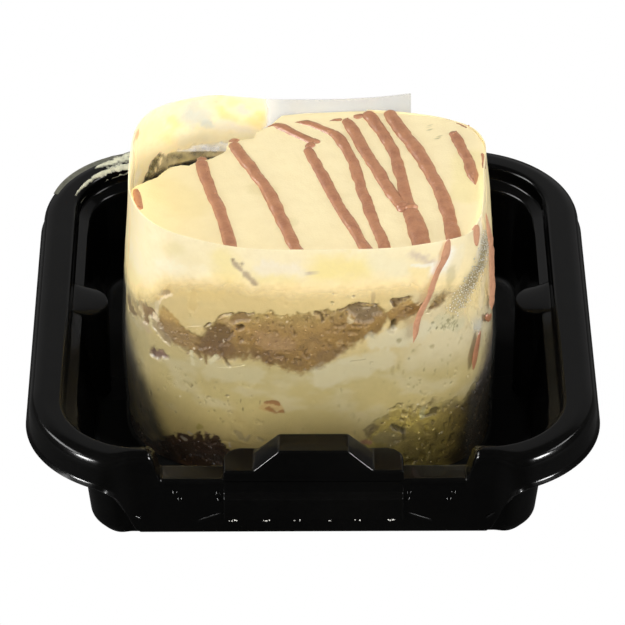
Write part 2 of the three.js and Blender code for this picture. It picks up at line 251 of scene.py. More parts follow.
def spread(tree, value, low, high, new_low, new_high):
    """Carries a value from one range over to another, and holds it at both ends."""
    sockets = {"Value": value, "From Min": low, "From Max": high, "To Min": new_low, "To Max": new_high}
    return node(tree, "ShaderNodeMapRange", sockets).outputs["Result"]


def between(tree, share, low, high):
    """A value between two limits, from a share of 0 to 1."""
    return spread(tree, share, 0.0, 1.0, low, high)


def noise(tree, place, scale, detail, **more):
    sockets = {"Vector": place, "Scale": scale, "Detail": detail, **more}
    return node(tree, "ShaderNodeTexNoise", sockets).outputs["Fac"]


def bump(tree, height, strength, distance):
    sockets = {"Height": height, "Strength": strength, "Distance": distance}
    return node(tree, "ShaderNodeBump", sockets).outputs["Normal"]


def kept(tree, name, output="Fac"):
    """What the mesh keeps under that name: a number, or a colour when output is Color."""
    return node(tree, "ShaderNodeAttribute", attribute_name=name).outputs[output]


def new_material(name):
    made = bpy.data.materials.new(name)
    made.use_nodes = True
    tree = made.node_tree
    return made, tree, tree.nodes["Principled BSDF"]


def new_group(name, kind, inputs, outputs):
    group = bpy.data.node_groups.new(name, kind)
    for label, socket, default in inputs:
        made = group.interface.new_socket(label, in_out="INPUT", socket_type=socket)
        if default is not None:
            made.default_value = default
    for label, socket in outputs:
        group.interface.new_socket(label, in_out="OUTPUT", socket_type=socket)
    return group, group.nodes.new("NodeGroupInput").outputs, group.nodes.new("NodeGroupOutput")


# %% [markdown]
# ## Shared effect: mottling
# Cream, sponge, smears and plastic all vary over a few millimetres and again over a fraction of
# one. Each could have its own noise nodes. One group with named inputs does it for all, and puts
# out a varied colour, a mask and a height for the bump. A helper adds the group to a material.

# %% Build the mottling group
mottle, mottle_in, mottle_out = new_group(
    "mottling", "ShaderNodeTree",
    [("Colour", "NodeSocketColor", (0.8, 0.8, 0.8, 1)), ("Stain", "NodeSocketColor", (0.4, 0.3, 0.2, 1)),
     ("Amount", "NodeSocketFloat", 0.2), ("Broad Scale", "NodeSocketFloat", 120.0),
     ("Fine Scale", "NodeSocketFloat", 900.0)],
    [("Colour", "NodeSocketColor"), ("Mask", "NodeSocketFloat"), ("Height", "NodeSocketFloat")])
place = node(mottle, "ShaderNodeTexCoord").outputs["Object"]
broad = noise(mottle, place, mottle_in["Broad Scale"], 4.0)
fine = noise(mottle, place, mottle_in["Fine Scale"], 3.0, Roughness=0.6)
patch = spread(mottle, broad, 0.42, 0.68, 0.0, 1.0)
grain = spread(mottle, fine, 0.35, 0.7, 0.0, 1.0)
both = maths(mottle, "ADD", maths(mottle, "MULTIPLY", patch, 0.65), maths(mottle, "MULTIPLY", grain, 0.35))
stained = blend_colours(mottle, maths(mottle, "MULTIPLY", both, mottle_in["Amount"], clamp=True),
                        mottle_in["Colour"], mottle_in["Stain"])
fill_in(mottle, mottle_out, {"Colour": stained, "Mask": both, "Height": fine})


def mottled(tree, shader, colour, stain, amount, broad_scale, fine_scale):
    """Adds the group to a material, links its colour to the shader and returns its outputs."""
    grade = node(tree, "ShaderNodeGroup", node_tree=mottle)
    fill_in(tree, grade, {"Colour": colour, "Stain": stain, "Amount": amount,
                          "Broad Scale": broad_scale, "Fine Scale": fine_scale})
    tree.links.new(grade.outputs["Colour"], shader.inputs["Base Color"])
    return grade.outputs


print("mottling group has", len(mottle.nodes), "nodes")

# %% [markdown]
# ## The tray's plastic
# The tray is black sheet, heated and sucked onto a mould. It shines, but its gloss wavers a
# little, and handling leaves faint dull patches. A single roughness would look like glass, so the
# mottling mask moves the roughness and a weak bump bends the reflections. Milk has run under the
# cake and dulled the floor of the tray, so the lowest four millimetres are rougher.

# %% Black formed sheet
black_sheet, tree, shader = new_material("black_sheet")
NEARLY_BLACK, WORN_BLACK = (0.001, 0.001, 0.001, 1), (0.0032, 0.0032, 0.003, 1)
grade = mottled(tree, shader, NEARLY_BLACK, WORN_BLACK, 0.6, 45.0, 700.0)
place = node(tree, "ShaderNodeTexCoord").outputs["Object"]
height = node(tree, "ShaderNodeSeparateXYZ", {"Vector": place}).outputs["Z"]
dull_floor = spread(tree, height, 0.004, 0.0015, 0.0, 0.75)
roughness = maths(tree, "MAXIMUM", between(tree, grade["Mask"], 0.12, 0.22), dull_floor)
waviness = bump(tree, noise(tree, place, 60.0, 1.0), 0.12, 0.0008)
fill_in(tree, shader, {"Roughness": roughness, "Normal": waviness, "IOR": 1.5, "Specular IOR Level": 0.11})

# %% [markdown]
# ## The tray's plan
# Seen from above the tray is a rounded square with sides of 140 mm. Each column of points keeps to
# one place on the way round: on the straights its own coordinate, in the corners its share of the
# turn. Columns stand close together where the shape changes fast, at the ribs and at the notch.

# %% Columns round the tray
STRAIGHT = 38.75
RIB = {"middle": 6.0, "radius": 6.1, "axis": 57.4}
notch_steps = np.arange(36.0, STRAIGHT, 0.25)
front_stops = np.concatenate([-notch_steps[::-1], np.arange(-35, 35.1, 1.25), notch_steps])
rib_stops = RIB["middle"] + RIB["radius"] * np.sin(np.linspace(-np.pi / 2, np.pi / 2, 25))
side_stops = np.concatenate([np.arange(-STRAIGHT, -0.4, 1.4), rib_stops,
                             np.arange(12.6, STRAIGHT + 0.1, 1.4)])
back_stops = np.linspace(-STRAIGHT, STRAIGHT, 40)
CORNER_COLUMNS = 46


def quarter_turns(x, y, turns):
    for _ in range(turns):
        x, y = -y, x
    return x, y


def plan_line(half, radius):
    """x and y of every column on a rounded square of that half width and corner radius."""
    way = np.arange(1, CORNER_COLUMNS) / CORNER_COLUMNS
    lead, arc = half - radius - STRAIGHT, radius * np.pi / 2
    gone = way * (2 * lead + arc)
    turn = -np.pi / 2 + np.clip((gone - lead) / radius, 0, np.pi / 2)
    corner_x = half - radius + radius * np.cos(turn) - np.clip(lead - gone, 0, None)
    corner_y = -(half - radius) + radius * np.sin(turn) + np.clip(gone - lead - arc, 0, None)
    x, y = [], []
    for side, stops in enumerate([front_stops, side_stops, back_stops, -side_stops[::-1]]):
        straight = quarter_turns(stops, np.full(len(stops), -half), side)
        corner = quarter_turns(corner_x, corner_y, side)
        x += [straight[0], corner[0]]
        y += [straight[1], corner[1]]
    return np.concatenate(x), np.concatenate(y)


print("columns round the tray:", len(plan_line(HALF_TRAY, 29.8)[0]))

# %% [markdown]
# ## The tray's section
# The sheet runs from the lip of the skirt, up over the flat rim, down the wall with its small
# step for the lid, and on to the floor. At the front the rim drops to a sill, below the latch.
# Each station is one line round the tray: its half width, corner radius and height. Where the
# line leaves the square at the front, a pair gives how far out and how high it runs there.

# %% Stations from lip to floor
RIM_Z, SILL_Z, LEDGE_Z, SHEET = 33.1, 25.0, 28.0, 0.8
SKIRT_FOOT, SKIRT_HEAD = (60.2, 6.4), (64.1, 23.8)
tray_stations = [
    # swing: the front as a whole, apron: the part that hangs down, front: the notch in the rim,
    # panel: the flat front of the wall, belly: sides that bulge, rib: lines that pass the ribs,
    # soft: how far back each bend starts
    dict(half=HALF_TRAY, radius=29.8, z=25.3, swing=(64.8, 19.2), apron=(59.4, 5.8), soft=0.2),
    dict(half=69.3, radius=29.6, z=26.2, swing=(64.9, 20.2), apron=SKIRT_FOOT, soft=0.4),
    dict(half=68.9, radius=29.8, z=30.8, swing=(64.7, 30.8), front=SKIRT_HEAD, soft=0.8),
    dict(half=68.2, radius=29.6, z=32.4, swing=(64.2, 32.4), front=(63.9, 24.6), soft=0.7),
    dict(half=66.4, radius=28.8, z=RIM_Z, swing=(63.0, RIM_Z), front=(63.5, SILL_Z), soft=0.8),
    dict(half=61.4, radius=20.0, z=RIM_Z, front=(58.2, SILL_Z), soft=0.5),
    dict(half=60.6, radius=19.6, z=32.4, front=(57.6, 24.7), soft=0.5),
    dict(half=60.2, radius=19.2, z=29.4, front=(57.2, 24.0), soft=0.6),
    dict(half=57.4, radius=15.6, z=LEDGE_Z, front=(56.0, 22.6), rib=True, soft=0.6),
    dict(half=57.0, radius=15.0, z=27.0, front=(52.7, 20.4), rib=True, panel=52.7, belly=True, soft=0.8),
    dict(half=53.7, radius=8.4, z=2.6, rib=True, panel=52.1, belly=True, soft=1.2),
    dict(half=52.0, radius=7.0, z=0.8, rib=True, panel=51.1, belly=True, soft=0.4),
]


def tray_line(station):
    x, y = plan_line(station["half"], station["radius"])
    z = np.full(len(x), station["z"])
    side = np.abs(x)
    if station.get("belly"):
        bulging = (np.abs(y) < 40) & (side > 40)
        x = x + np.where(bulging, np.sign(x) * 1.2 * eased(40, 34, np.abs(y)), 0)
    if station.get("rib"):
        inside = np.clip(RIB["radius"] ** 2 - (y - RIB["middle"]) ** 2, 0, None)
        reach = np.where((side > 40) & (inside > 0), RIB["axis"] - np.sqrt(inside), 99)
        x = np.sign(x) * np.minimum(np.abs(x), reach)
    front = (y < 0) & (side < 52)
    if "panel" in station:
        y = np.where(front, y + (-station["panel"] - y) * eased(48.5, 44, side), y)
    for key, near, far in (("swing", 52, 43), ("apron", 47.6, 42.0), ("front", 39.2, 36.4)):
        if key in station:
            share = np.where(front, eased(near, far, side), 0)
            y = y + (-station[key][0] - y) * share
            z = z + (station[key][1] - z) * share
    return np.stack([x, y, z], axis=-1)


tray_top = np.array([tray_line(station) for station in tray_stations])
print("tray lines", tray_top.shape, "width", np.ptp(tray_top[..., 0]).round(2), "mm")

# %% Sweep the sheet and give it a back
softness = [station["soft"] for station in tray_stations]
tray_under = tray_top - directions(tray_top, True) * SHEET
tray_under[-1, :, 2] = 0.0
outer_side = rounded(tray_top, softness)
under_side = rounded(tray_under, softness)
points, faces = closed_rows(np.concatenate([under_side[::-1], outer_side]), [0, 0, 0], [0, 0, SHEET])
tray = make_piece("tray_sheet", points, faces, black_sheet, crease=60)

# %% [markdown]
# ## The latch and its torn tab
# On the sill sits a low platform with a raised boss, where the lid's tongue snaps in. Below it
# hangs a tab that was torn off along a perforated line. Both are one formed sheet, so they are
# built as one surface: a few key lines across and along, each bend rounded by about half a
# millimetre, because those bends are what catch the light.

# %% The latch surface
LATCH_HALF, BOSS_FOOT, BOSS_HALF = 21.6, 14.4, 8.3
LATCH_LOW, PLATFORM_Z, BOSS_Z, TAB_BOTTOM = 24.7, 28.0, 33.8, 14.3
right_half = np.array([BOSS_HALF, BOSS_FOOT, LATCH_HALF, LATCH_HALF])
right_top = np.array([BOSS_Z, PLATFORM_Z, PLATFORM_Z, LATCH_LOW])
key_x = np.concatenate([-right_half[::-1], right_half])
key_top = np.concatenate([right_top[::-1], right_top])
level = np.minimum(key_top, PLATFORM_Z)
low = np.minimum(key_top, 24.9)
edge_back = np.where(key_top == LATCH_LOW, 0.8, 0.0)


def latch_line(y, z, narrower=0.0):
    x = np.clip(key_x, narrower - LATCH_HALF, LATCH_HALF - narrower)
    return np.stack([x, y * np.ones(len(x)), z * np.ones(len(x))], axis=-1)


latch_lines = np.array([
    latch_line(-54.8, low, 3.4),
    latch_line(-55.0, level, 3.6),
    latch_line(-55.6, level + (key_top - level) * 0.12, 1.9),
    latch_line(-56.9, key_top + 0.02, 0.5),
    latch_line(-58.6, key_top),
    latch_line(-64.2 + edge_back, key_top),
    latch_line(-64.4 + edge_back, level - 0.6),
    latch_line(-64.3 + edge_back, SILL_Z),
    latch_line(-64.0 + edge_back, 24.6),
    latch_line(-64.2 + edge_back, 22.1),
    latch_line(-64.3 + edge_back, 21.4),
    latch_line(-65.7 + edge_back, 20.5),
    latch_line(-65.7 + edge_back, 14.7),
    latch_line(-65.7 + edge_back, TAB_BOTTOM),
])
bends_across = [0, 0.6, 0.5, 0.6, 0.6, 0.5, 0.6, 0]
bends_along = [0, 0.3, 0.3, 0.6, 0.6, 0.5, 0.4, 0.3, 0.3, 0.4, 0.3, 0.4, 0, 0]
across = rounded(np.swapaxes(latch_lines, 0, 1), bends_across)
latch_rows = rounded(np.swapaxes(across, 0, 1), bends_along)
print("latch grid", latch_rows.shape)

# %% [markdown]
# The torn edge needs points to be ragged with, and the wide gap in the middle has none yet. So
# that gap is filled with even steps first, and a cloud then moves the lowest row up and down.

# %% Torn edge and the finished latch
middle = np.argmax(np.diff(latch_rows[8, :, 0]))
before, after = latch_rows[:, middle], latch_rows[:, middle + 1]
filling = [before * (1 - t) + after * t for t in np.linspace(0, 1, 40)[1:-1]]
latch_rows = np.concatenate([latch_rows[:, :middle + 1], np.stack(filling, axis=1),
                             latch_rows[:, middle + 1:]], axis=1)
latch_rows[-1, :, 2] += 0.35 * cloud(latch_rows[-1] * [1, 0, 0], 1.6, 4, 2)
points, faces = closed_strip(latch_rows[::-1], 0.5)
latch = make_piece("latch_and_tab", points, faces, black_sheet, crease=60)

# %% [markdown]
# ## Stress-whitened stubs
# The tab was joined to the lid by short bridges. Where they tore, the plastic turned pale. Six
# stubs sit along the edge, each a small heap of pale lumps. Geometry Nodes strew the lumps: points
# on a surface, a ball on each, and a random size. The same tree serves crumbs and drops as well.

# %% Geometry Nodes: lumps on a surface
def roughened(tree, shape, push, finish):
    """The end of both trees here: moves a shape's points out or in, smooths it and dresses it."""
    facing = node(tree, "GeometryNodeInputNormal").outputs["Normal"]
    offset = node(tree, "ShaderNodeVectorMath", {0: facing, "Scale": push}, operation="SCALE").outputs[0]
    moved = node(tree, "GeometryNodeSetPosition", {"Geometry": shape, "Offset": offset})
    smooth = node(tree, "GeometryNodeSetShadeSmooth", {0: moved.outputs[0]})
    dressed = node(tree, "GeometryNodeSetMaterial", {"Geometry": smooth.outputs[0], "Material": finish})
    return dressed.outputs[0]


def lump_tree():
    tree, given, result = new_group(
        "lumps_on_surface", "GeometryNodeTree",
        [("Surface", "NodeSocketGeometry", None), ("Per Area", "NodeSocketFloat", 1e6),
         ("Spacing", "NodeSocketFloat", 0.0005), ("Smallest", "NodeSocketFloat", 0.0002),
         ("Largest", "NodeSocketFloat", 0.0004), ("Flatness", "NodeSocketFloat", 0.6),
         ("Roughness", "NodeSocketFloat", 0.3), ("Seed", "NodeSocketInt", 1),
         ("Finish", "NodeSocketMaterial", None)],
        [("Lumps", "NodeSocketGeometry")])
    amount = node(tree, "GeometryNodeInputNamedAttribute", {"Name": "amount"}, data_type="FLOAT")
    strewn = node(tree, "GeometryNodeDistributePointsOnFaces",
                  {"Mesh": given["Surface"], "Distance Min": given["Spacing"],
                   "Density Max": given["Per Area"], "Density Factor": amount.outputs["Attribute"],
                   "Seed": given["Seed"]}, distribute_method="POISSON")
    ball = node(tree, "GeometryNodeMeshIcoSphere", {"Radius": 1.0, "Subdivisions": 2})
    where = node(tree, "GeometryNodeInputPosition").outputs["Position"]
    limits = {2: given["Smallest"], 3: given["Largest"], "Seed": given["Seed"]}
    size = node(tree, "FunctionNodeRandomValue", limits, data_type="FLOAT").outputs[1]
    flat = node(tree, "ShaderNodeCombineXYZ", {"X": 1.0, "Y": 1.0, "Z": given["Flatness"]}).outputs[0]
    scale = node(tree, "ShaderNodeVectorMath", {0: flat, "Scale": size}, operation="SCALE").outputs[0]
    placed = node(tree, "GeometryNodeInstanceOnPoints",
                  {"Points": strewn.outputs["Points"], "Instance": ball.outputs["Mesh"],
                   "Rotation": strewn.outputs["Rotation"], "Scale": scale})
    real = node(tree, "GeometryNodeRealizeInstances", {0: placed.outputs[0]})
    wobble = maths(tree, "SUBTRACT", noise(tree, where, 1800.0, 1.0), 0.5)
    push = maths(tree, "MULTIPLY", maths(tree, "MULTIPLY", wobble, given["Roughness"]), given["Largest"])
    tree.links.new(roughened(tree, real.outputs[0], push, given["Finish"]), result.inputs["Lumps"])
    return tree


def grown(name, base, tree, settings):
    """Runs a Geometry Nodes tree on a base object and keeps the result as a plain mesh."""
    modifier = base.modifiers.new(name, "NODES")
    modifier.node_group = tree
    for item in tree.interface.items_tree:
        if item.item_type == "SOCKET" and item.in_out == "INPUT" and item.name in settings:
            modifier[item.identifier] = settings[item.name]
    ready = base.evaluated_get(bpy.context.evaluated_depsgraph_get())
    mesh = bpy.data.meshes.new_from_object(ready)
    mesh.name = name
    piece = bpy.data.objects.new(name, mesh)
    bpy.context.scene.collection.objects.link(piece)
    bpy.data.objects.remove(base)
    print(name, len(mesh.polygons), "faces from nodes")
    return piece


lumps = lump_tree()

# %% Strew lumps where an amount says so
def strew(name, points, faces, amount, material, seed, per_area, spacing, smallest, largest,
          flatness=0.6, roughness=0.3):
    """Lumps on a surface that isn't kept itself. Lengths here are in metres, as the tree wants them."""
    base = make_piece(name + "_base", points, faces, material)
    set_value(base, "amount", np.clip(amount, 0, 1))
    return grown(name, base, lumps, {
        "Per Area": per_area, "Spacing": spacing, "Smallest": smallest, "Largest": largest,
        "Flatness": flatness, "Roughness": roughness, "Seed": seed, "Finish": material})


# %% The six stubs
pale_plastic, tree, shader = new_material("pale_torn_plastic")
grade = mottled(tree, shader, (0.75, 0.74, 0.7, 1), (0.2, 0.2, 0.19, 1), 0.8, 700.0, 3000.0)
fill_in(tree, shader, {"Roughness": between(tree, grade["Mask"], 0.2, 0.5)})

STUB_HALF, STUB_LOW, STUB_HIGH = 0.95, (-65.85, 14.1), (-65.8, 14.4)
stub_points, stub_faces = [], []
for x in (-19.4, -11.4, -3.7, 3.8, 10.8, 18.4):
    stub_faces.append([len(stub_points) + k for k in range(4)])
    stub_points += [[x - STUB_HALF, *STUB_LOW], [x + STUB_HALF, *STUB_LOW],
                    [x + STUB_HALF, *STUB_HIGH], [x - STUB_HALF, *STUB_HIGH]]
stubs = strew("torn_stubs", stub_points, stub_faces, np.ones(len(stub_points)), pale_plastic, 3,
              per_area=8e6, spacing=0.00024, smallest=0.00013, largest=0.00026)

# %% [markdown]
# ## Moulded ridges and bumps
# The hanging front is not bare: slanting ridges stiffen it on each side of the tab, and small
# round bumps keep stacked trays apart. Each ridge is a short strip with a raised middle, and a
# bump is the same strip, as wide as it is long. Each catches one bright line or dot of light.

# %% Ridges and bumps on the hanging front
SKIRT_OUT = np.array([0.0, -0.976, -0.219])
RIDGES = [((-28.0, 10.4), (-21.9, 13.3)), ((28.6, 10.3), (22.5, 13.2)),
          ((-43.4, 12.2), (-42.0, 11.3)), ((44.1, 13.2), (42.0, 11.2))]
BUMPS = [(-33.3, 21), (-32.1, 18.6), (-22.9, 20.7), (-22.6, 18.4),
         (22.9, 20.7), (22.6, 18.4), (33.6, 20.8), (32.6, 18.3)]


def on_skirt(x, z):
    """A point on the hanging front at this width and height."""
    climb = (z - SKIRT_FOOT[1]) / (SKIRT_HEAD[1] - SKIRT_FOOT[1])
    return np.array([x, -SKIRT_FOOT[0] - (SKIRT_HEAD[0] - SKIRT_FOOT[0]) * climb, z])


def ridge(start, end, half_width, height, count, bluntness):
    """Rows of a strip with a raised middle. A high bluntness keeps the height up to the ends."""
    line = np.linspace(on_skirt(*start), on_skirt(*end), count)
    side = np.cross(SKIRT_OUT, line[-1] - line[0])
    side = side / np.linalg.norm(side) * (-1 if side[2] < 0 else 1)
    if line[-1][0] < line[0][0]:
        line = line[::-1]
    fade = np.sqrt(np.clip(1 - np.linspace(-1, 1, count) ** bluntness, 0.02, 1))
    raised = [SKIRT_OUT * ((height * (1 - t * t) * fade)[:, None] - 0.05) for t in np.linspace(1, -1, 9)]
    return np.array([line + side * half_width * t + out for t, out in zip(np.linspace(1, -1, 9), raised)])


def moulded(name, rows):
    points, faces = closed_strip(rows, 0.1)
    return make_piece(name, points, faces, black_sheet, crease=60)


trims = [moulded(f"skirt_ridge_{number}", ridge(start, end, 0.4, 0.35, 24, 8))
         for number, (start, end) in enumerate(RIDGES, 1)]
trims += [moulded(f"skirt_bump_{number}", ridge((x - 0.5, z), (x + 0.5, z), 0.45, 0.65, 16, 2))
          for number, (x, z) in enumerate(BUMPS, 1)]

# %% [markdown]
# ## The cake's outline
# A soft square stands in the tray, squarer at the back right than at the front left, and its
# sides swell a little between floor and top. A superellipse gives such an outline from one
# number a corner. The film follows the same outline, a little further out. The back left edge
# has crumbled off, so points beyond that broken line are pulled in towards the middle.

# %% Outline, swelling and the broken corner
MIDDLE = np.array([-0.8, 1.0])
HALF_X, FRONT, BACK = 43.8, 32.5, 31.0
CAKE_CORNERS, FILM_CORNERS = (4.1, 2.6, 2.7, 3.4), (3.2, 3.2, 2.8, 3.4)


def swell(z):
    """Front and back swell between floor and top."""
    return 1.8 * np.sin(np.pi * np.clip(z / 76.0, 0, 1)) ** 0.8


def side_swell(angle, z):
    """The sides swell low down and draw in upwards; the top of the right side leans in as well."""
    turn = (angle + 180) % 360 - 180
    lean = 1.9 * eased(58, 70.5, z) * eased(-46, -20, turn) * eased(20, -8, turn)
    return 2.4 - 0.6 * eased(22, 0, z) - 2.8 * eased(20, 78, z) - lean


def outline(angle, z, extra=0.0, corners=CAKE_CORNERS):
    angle, z = np.broadcast_arrays(np.asarray(angle, float), np.asarray(z, float))
    power = 2.0 / np.array(corners)[np.floor((angle % 360) / 90).astype(int)]
    cos, sin = np.cos(np.radians(angle)), np.sin(np.radians(angle))
    back = BACK - np.where(cos > 0, 1.2 * eased(92, 62, angle % 360), 0.0)
    width = HALF_X + extra + side_swell(angle, z)
    depth = np.where(sin > 0, back, FRONT) + extra + swell(z)
    x = MIDDLE[0] + width * np.sign(cos) * np.abs(cos) ** power
    y = MIDDLE[1] + depth * np.sign(sin) * np.abs(sin) ** power
    return np.stack([x, y, z], axis=-1)


def even_angles(count):
    """Angles that are evenly spaced along the outline, twice as close at the front as at the back."""
    fine_angles = np.linspace(0, 360, 7201)
    ring = outline(fine_angles, 38.0)[:, :2]
    steps = np.linalg.norm(np.diff(ring, axis=0), axis=1)
    pace = np.where(ring[1:, 1] < 6, 1.0, 0.45)
    gone = np.concatenate([[0], np.cumsum(steps * pace)])
    print("the cake measures", round(steps.sum(), 1), "mm round")
    return np.interp(np.linspace(0, gone[-1], count, endpoint=False), gone, fine_angles)


BROKEN_EDGE = np.array([
    (-46, 4.5), (-41.9, 8.2), (-38.5, 10.2), (-36.2, 13.6), (-33.7, 14.2), (-32, 13.7), (-29.5, 15.4),
    (-25.7, 16.6), (-23.5, 18.1), (-21.6, 20.0), (-20.9, 23.6), (-17.2, 23.9), (-14.6, 24.1),
    (-13.8, 26.3), (-11, 28.3), (-8.0, 32.5),
])


def break_away(points):
    """Pulls points in behind the line where the back left edge has crumbled off."""
    start, end = BROKEN_EDGE[0], BROKEN_EDGE[-1]
    ahead = (end - start) / np.linalg.norm(end - start)
    aside = np.array([-ahead[1], ahead[0]])
    edge_along, edge_past = (BROKEN_EDGE - start) @ ahead, (BROKEN_EDGE - start) @ aside
    spare = 0.45 * cloud(points, 1.6, 8, 3) + 6.0 * eased(50, 12, points[..., 2])
    share = np.ones(points.shape[:-1])
    gone = np.zeros(share.shape, dtype=bool)
    for _ in range(60):
        place = MIDDLE + (points[..., :2] - MIDDLE) * share[..., None] - start
        outside = place @ aside > np.interp(place @ ahead, edge_along, edge_past) + spare
        gone |= outside
        share = np.where(outside, share - 0.008, share)
    moved = points.copy()
    moved[..., :2] = MIDDLE + (points[..., :2] - MIDDLE) * share[..., None]
    return moved, gone


cake_angles = even_angles(760)

# %% [markdown]
# ## Where one layer meets the next
# The layers are not level: the sponge sags at the left and climbs at the right, and the wet base
# is thick at the right. The same simple height rules as in the CAD model hold here, so each
# finer layer fills its own solid.

# %% Faces between the layers
def top_face(x, y):
    return 64.5 + 0.04 * x + 0.065 * y


def sponge_floor(x, y):
    return 36 + 12.5 * eased(2, 27, x + 0.1 * y) + 1.2 * np.sin(x * 0.33 + y * 0.21)


def sponge_top(x, y):
    return 51.6 + 0.06 * x - 8 * eased(-20, -42, x + 0.1 * y) + 0.5 * np.sin(x * 0.4 - y * 0.27)


def base_top(x, y):
    return 11 + 7.5 * eased(8, 24, x - 0.1 * y) + 0.9 * np.sin(x * 0.3 + y * 0.35)


def floor_face(x, y):
    return np.full(np.shape(x), 1.1)


# %% [markdown]
# ## Marks on the cake's wall
# Behind the film the wall shows what a knife and a hand left there: a brown band of sponge with
# a torn upper edge, hollows, soaked crumb at both lower corners and a few stray bits. Those corners
# are darkened by painted shade as well. A picture would not belong to a reusable part, so each mark
# is described: a short line of places in width and height, how thick it is, how deep, and its colour.

# %% Distance from a mark's line
def away_from(x, z, line):
    line = np.array(line, dtype=float)
    if len(line) == 1:
        return np.hypot(x - line[0, 0], z - line[0, 1])
    best = np.full(np.shape(x), 1e9)
    for (ax, az), (bx, bz) in zip(line[:-1], line[1:]):
        share = ((x - ax) * (bx - ax) + (z - az) * (bz - az)) / ((bx - ax) ** 2 + (bz - az) ** 2)
        share = np.clip(share, 0, 1)
        best = np.minimum(best, np.hypot(x - ax - share * (bx - ax), z - az - share * (bz - az)))
    return best


def lay_marks(points, across, colours, depth, marks, raggedness=0.8, softness=0.2):
    """Blends each mark's colour in and deepens the surface there. Edges are ragged, not round."""
    wobble = cloud(points, 2.2, 12, 4) + 0.55 * cloud(points, 0.8, 13, 2)
    for colour, radius, deep, strength, line in marks:
        near = away_from(across, points[..., 2], line) + wobble * (min(radius, 1.6) * raggedness + 0.1)
        share = (1 - eased(radius * (0.85 - softness), radius * (1.1 + softness), near)) * strength
        colours = stir(colours, share, tone(colour))
        depth = np.maximum(depth, share * deep)
    return colours, depth


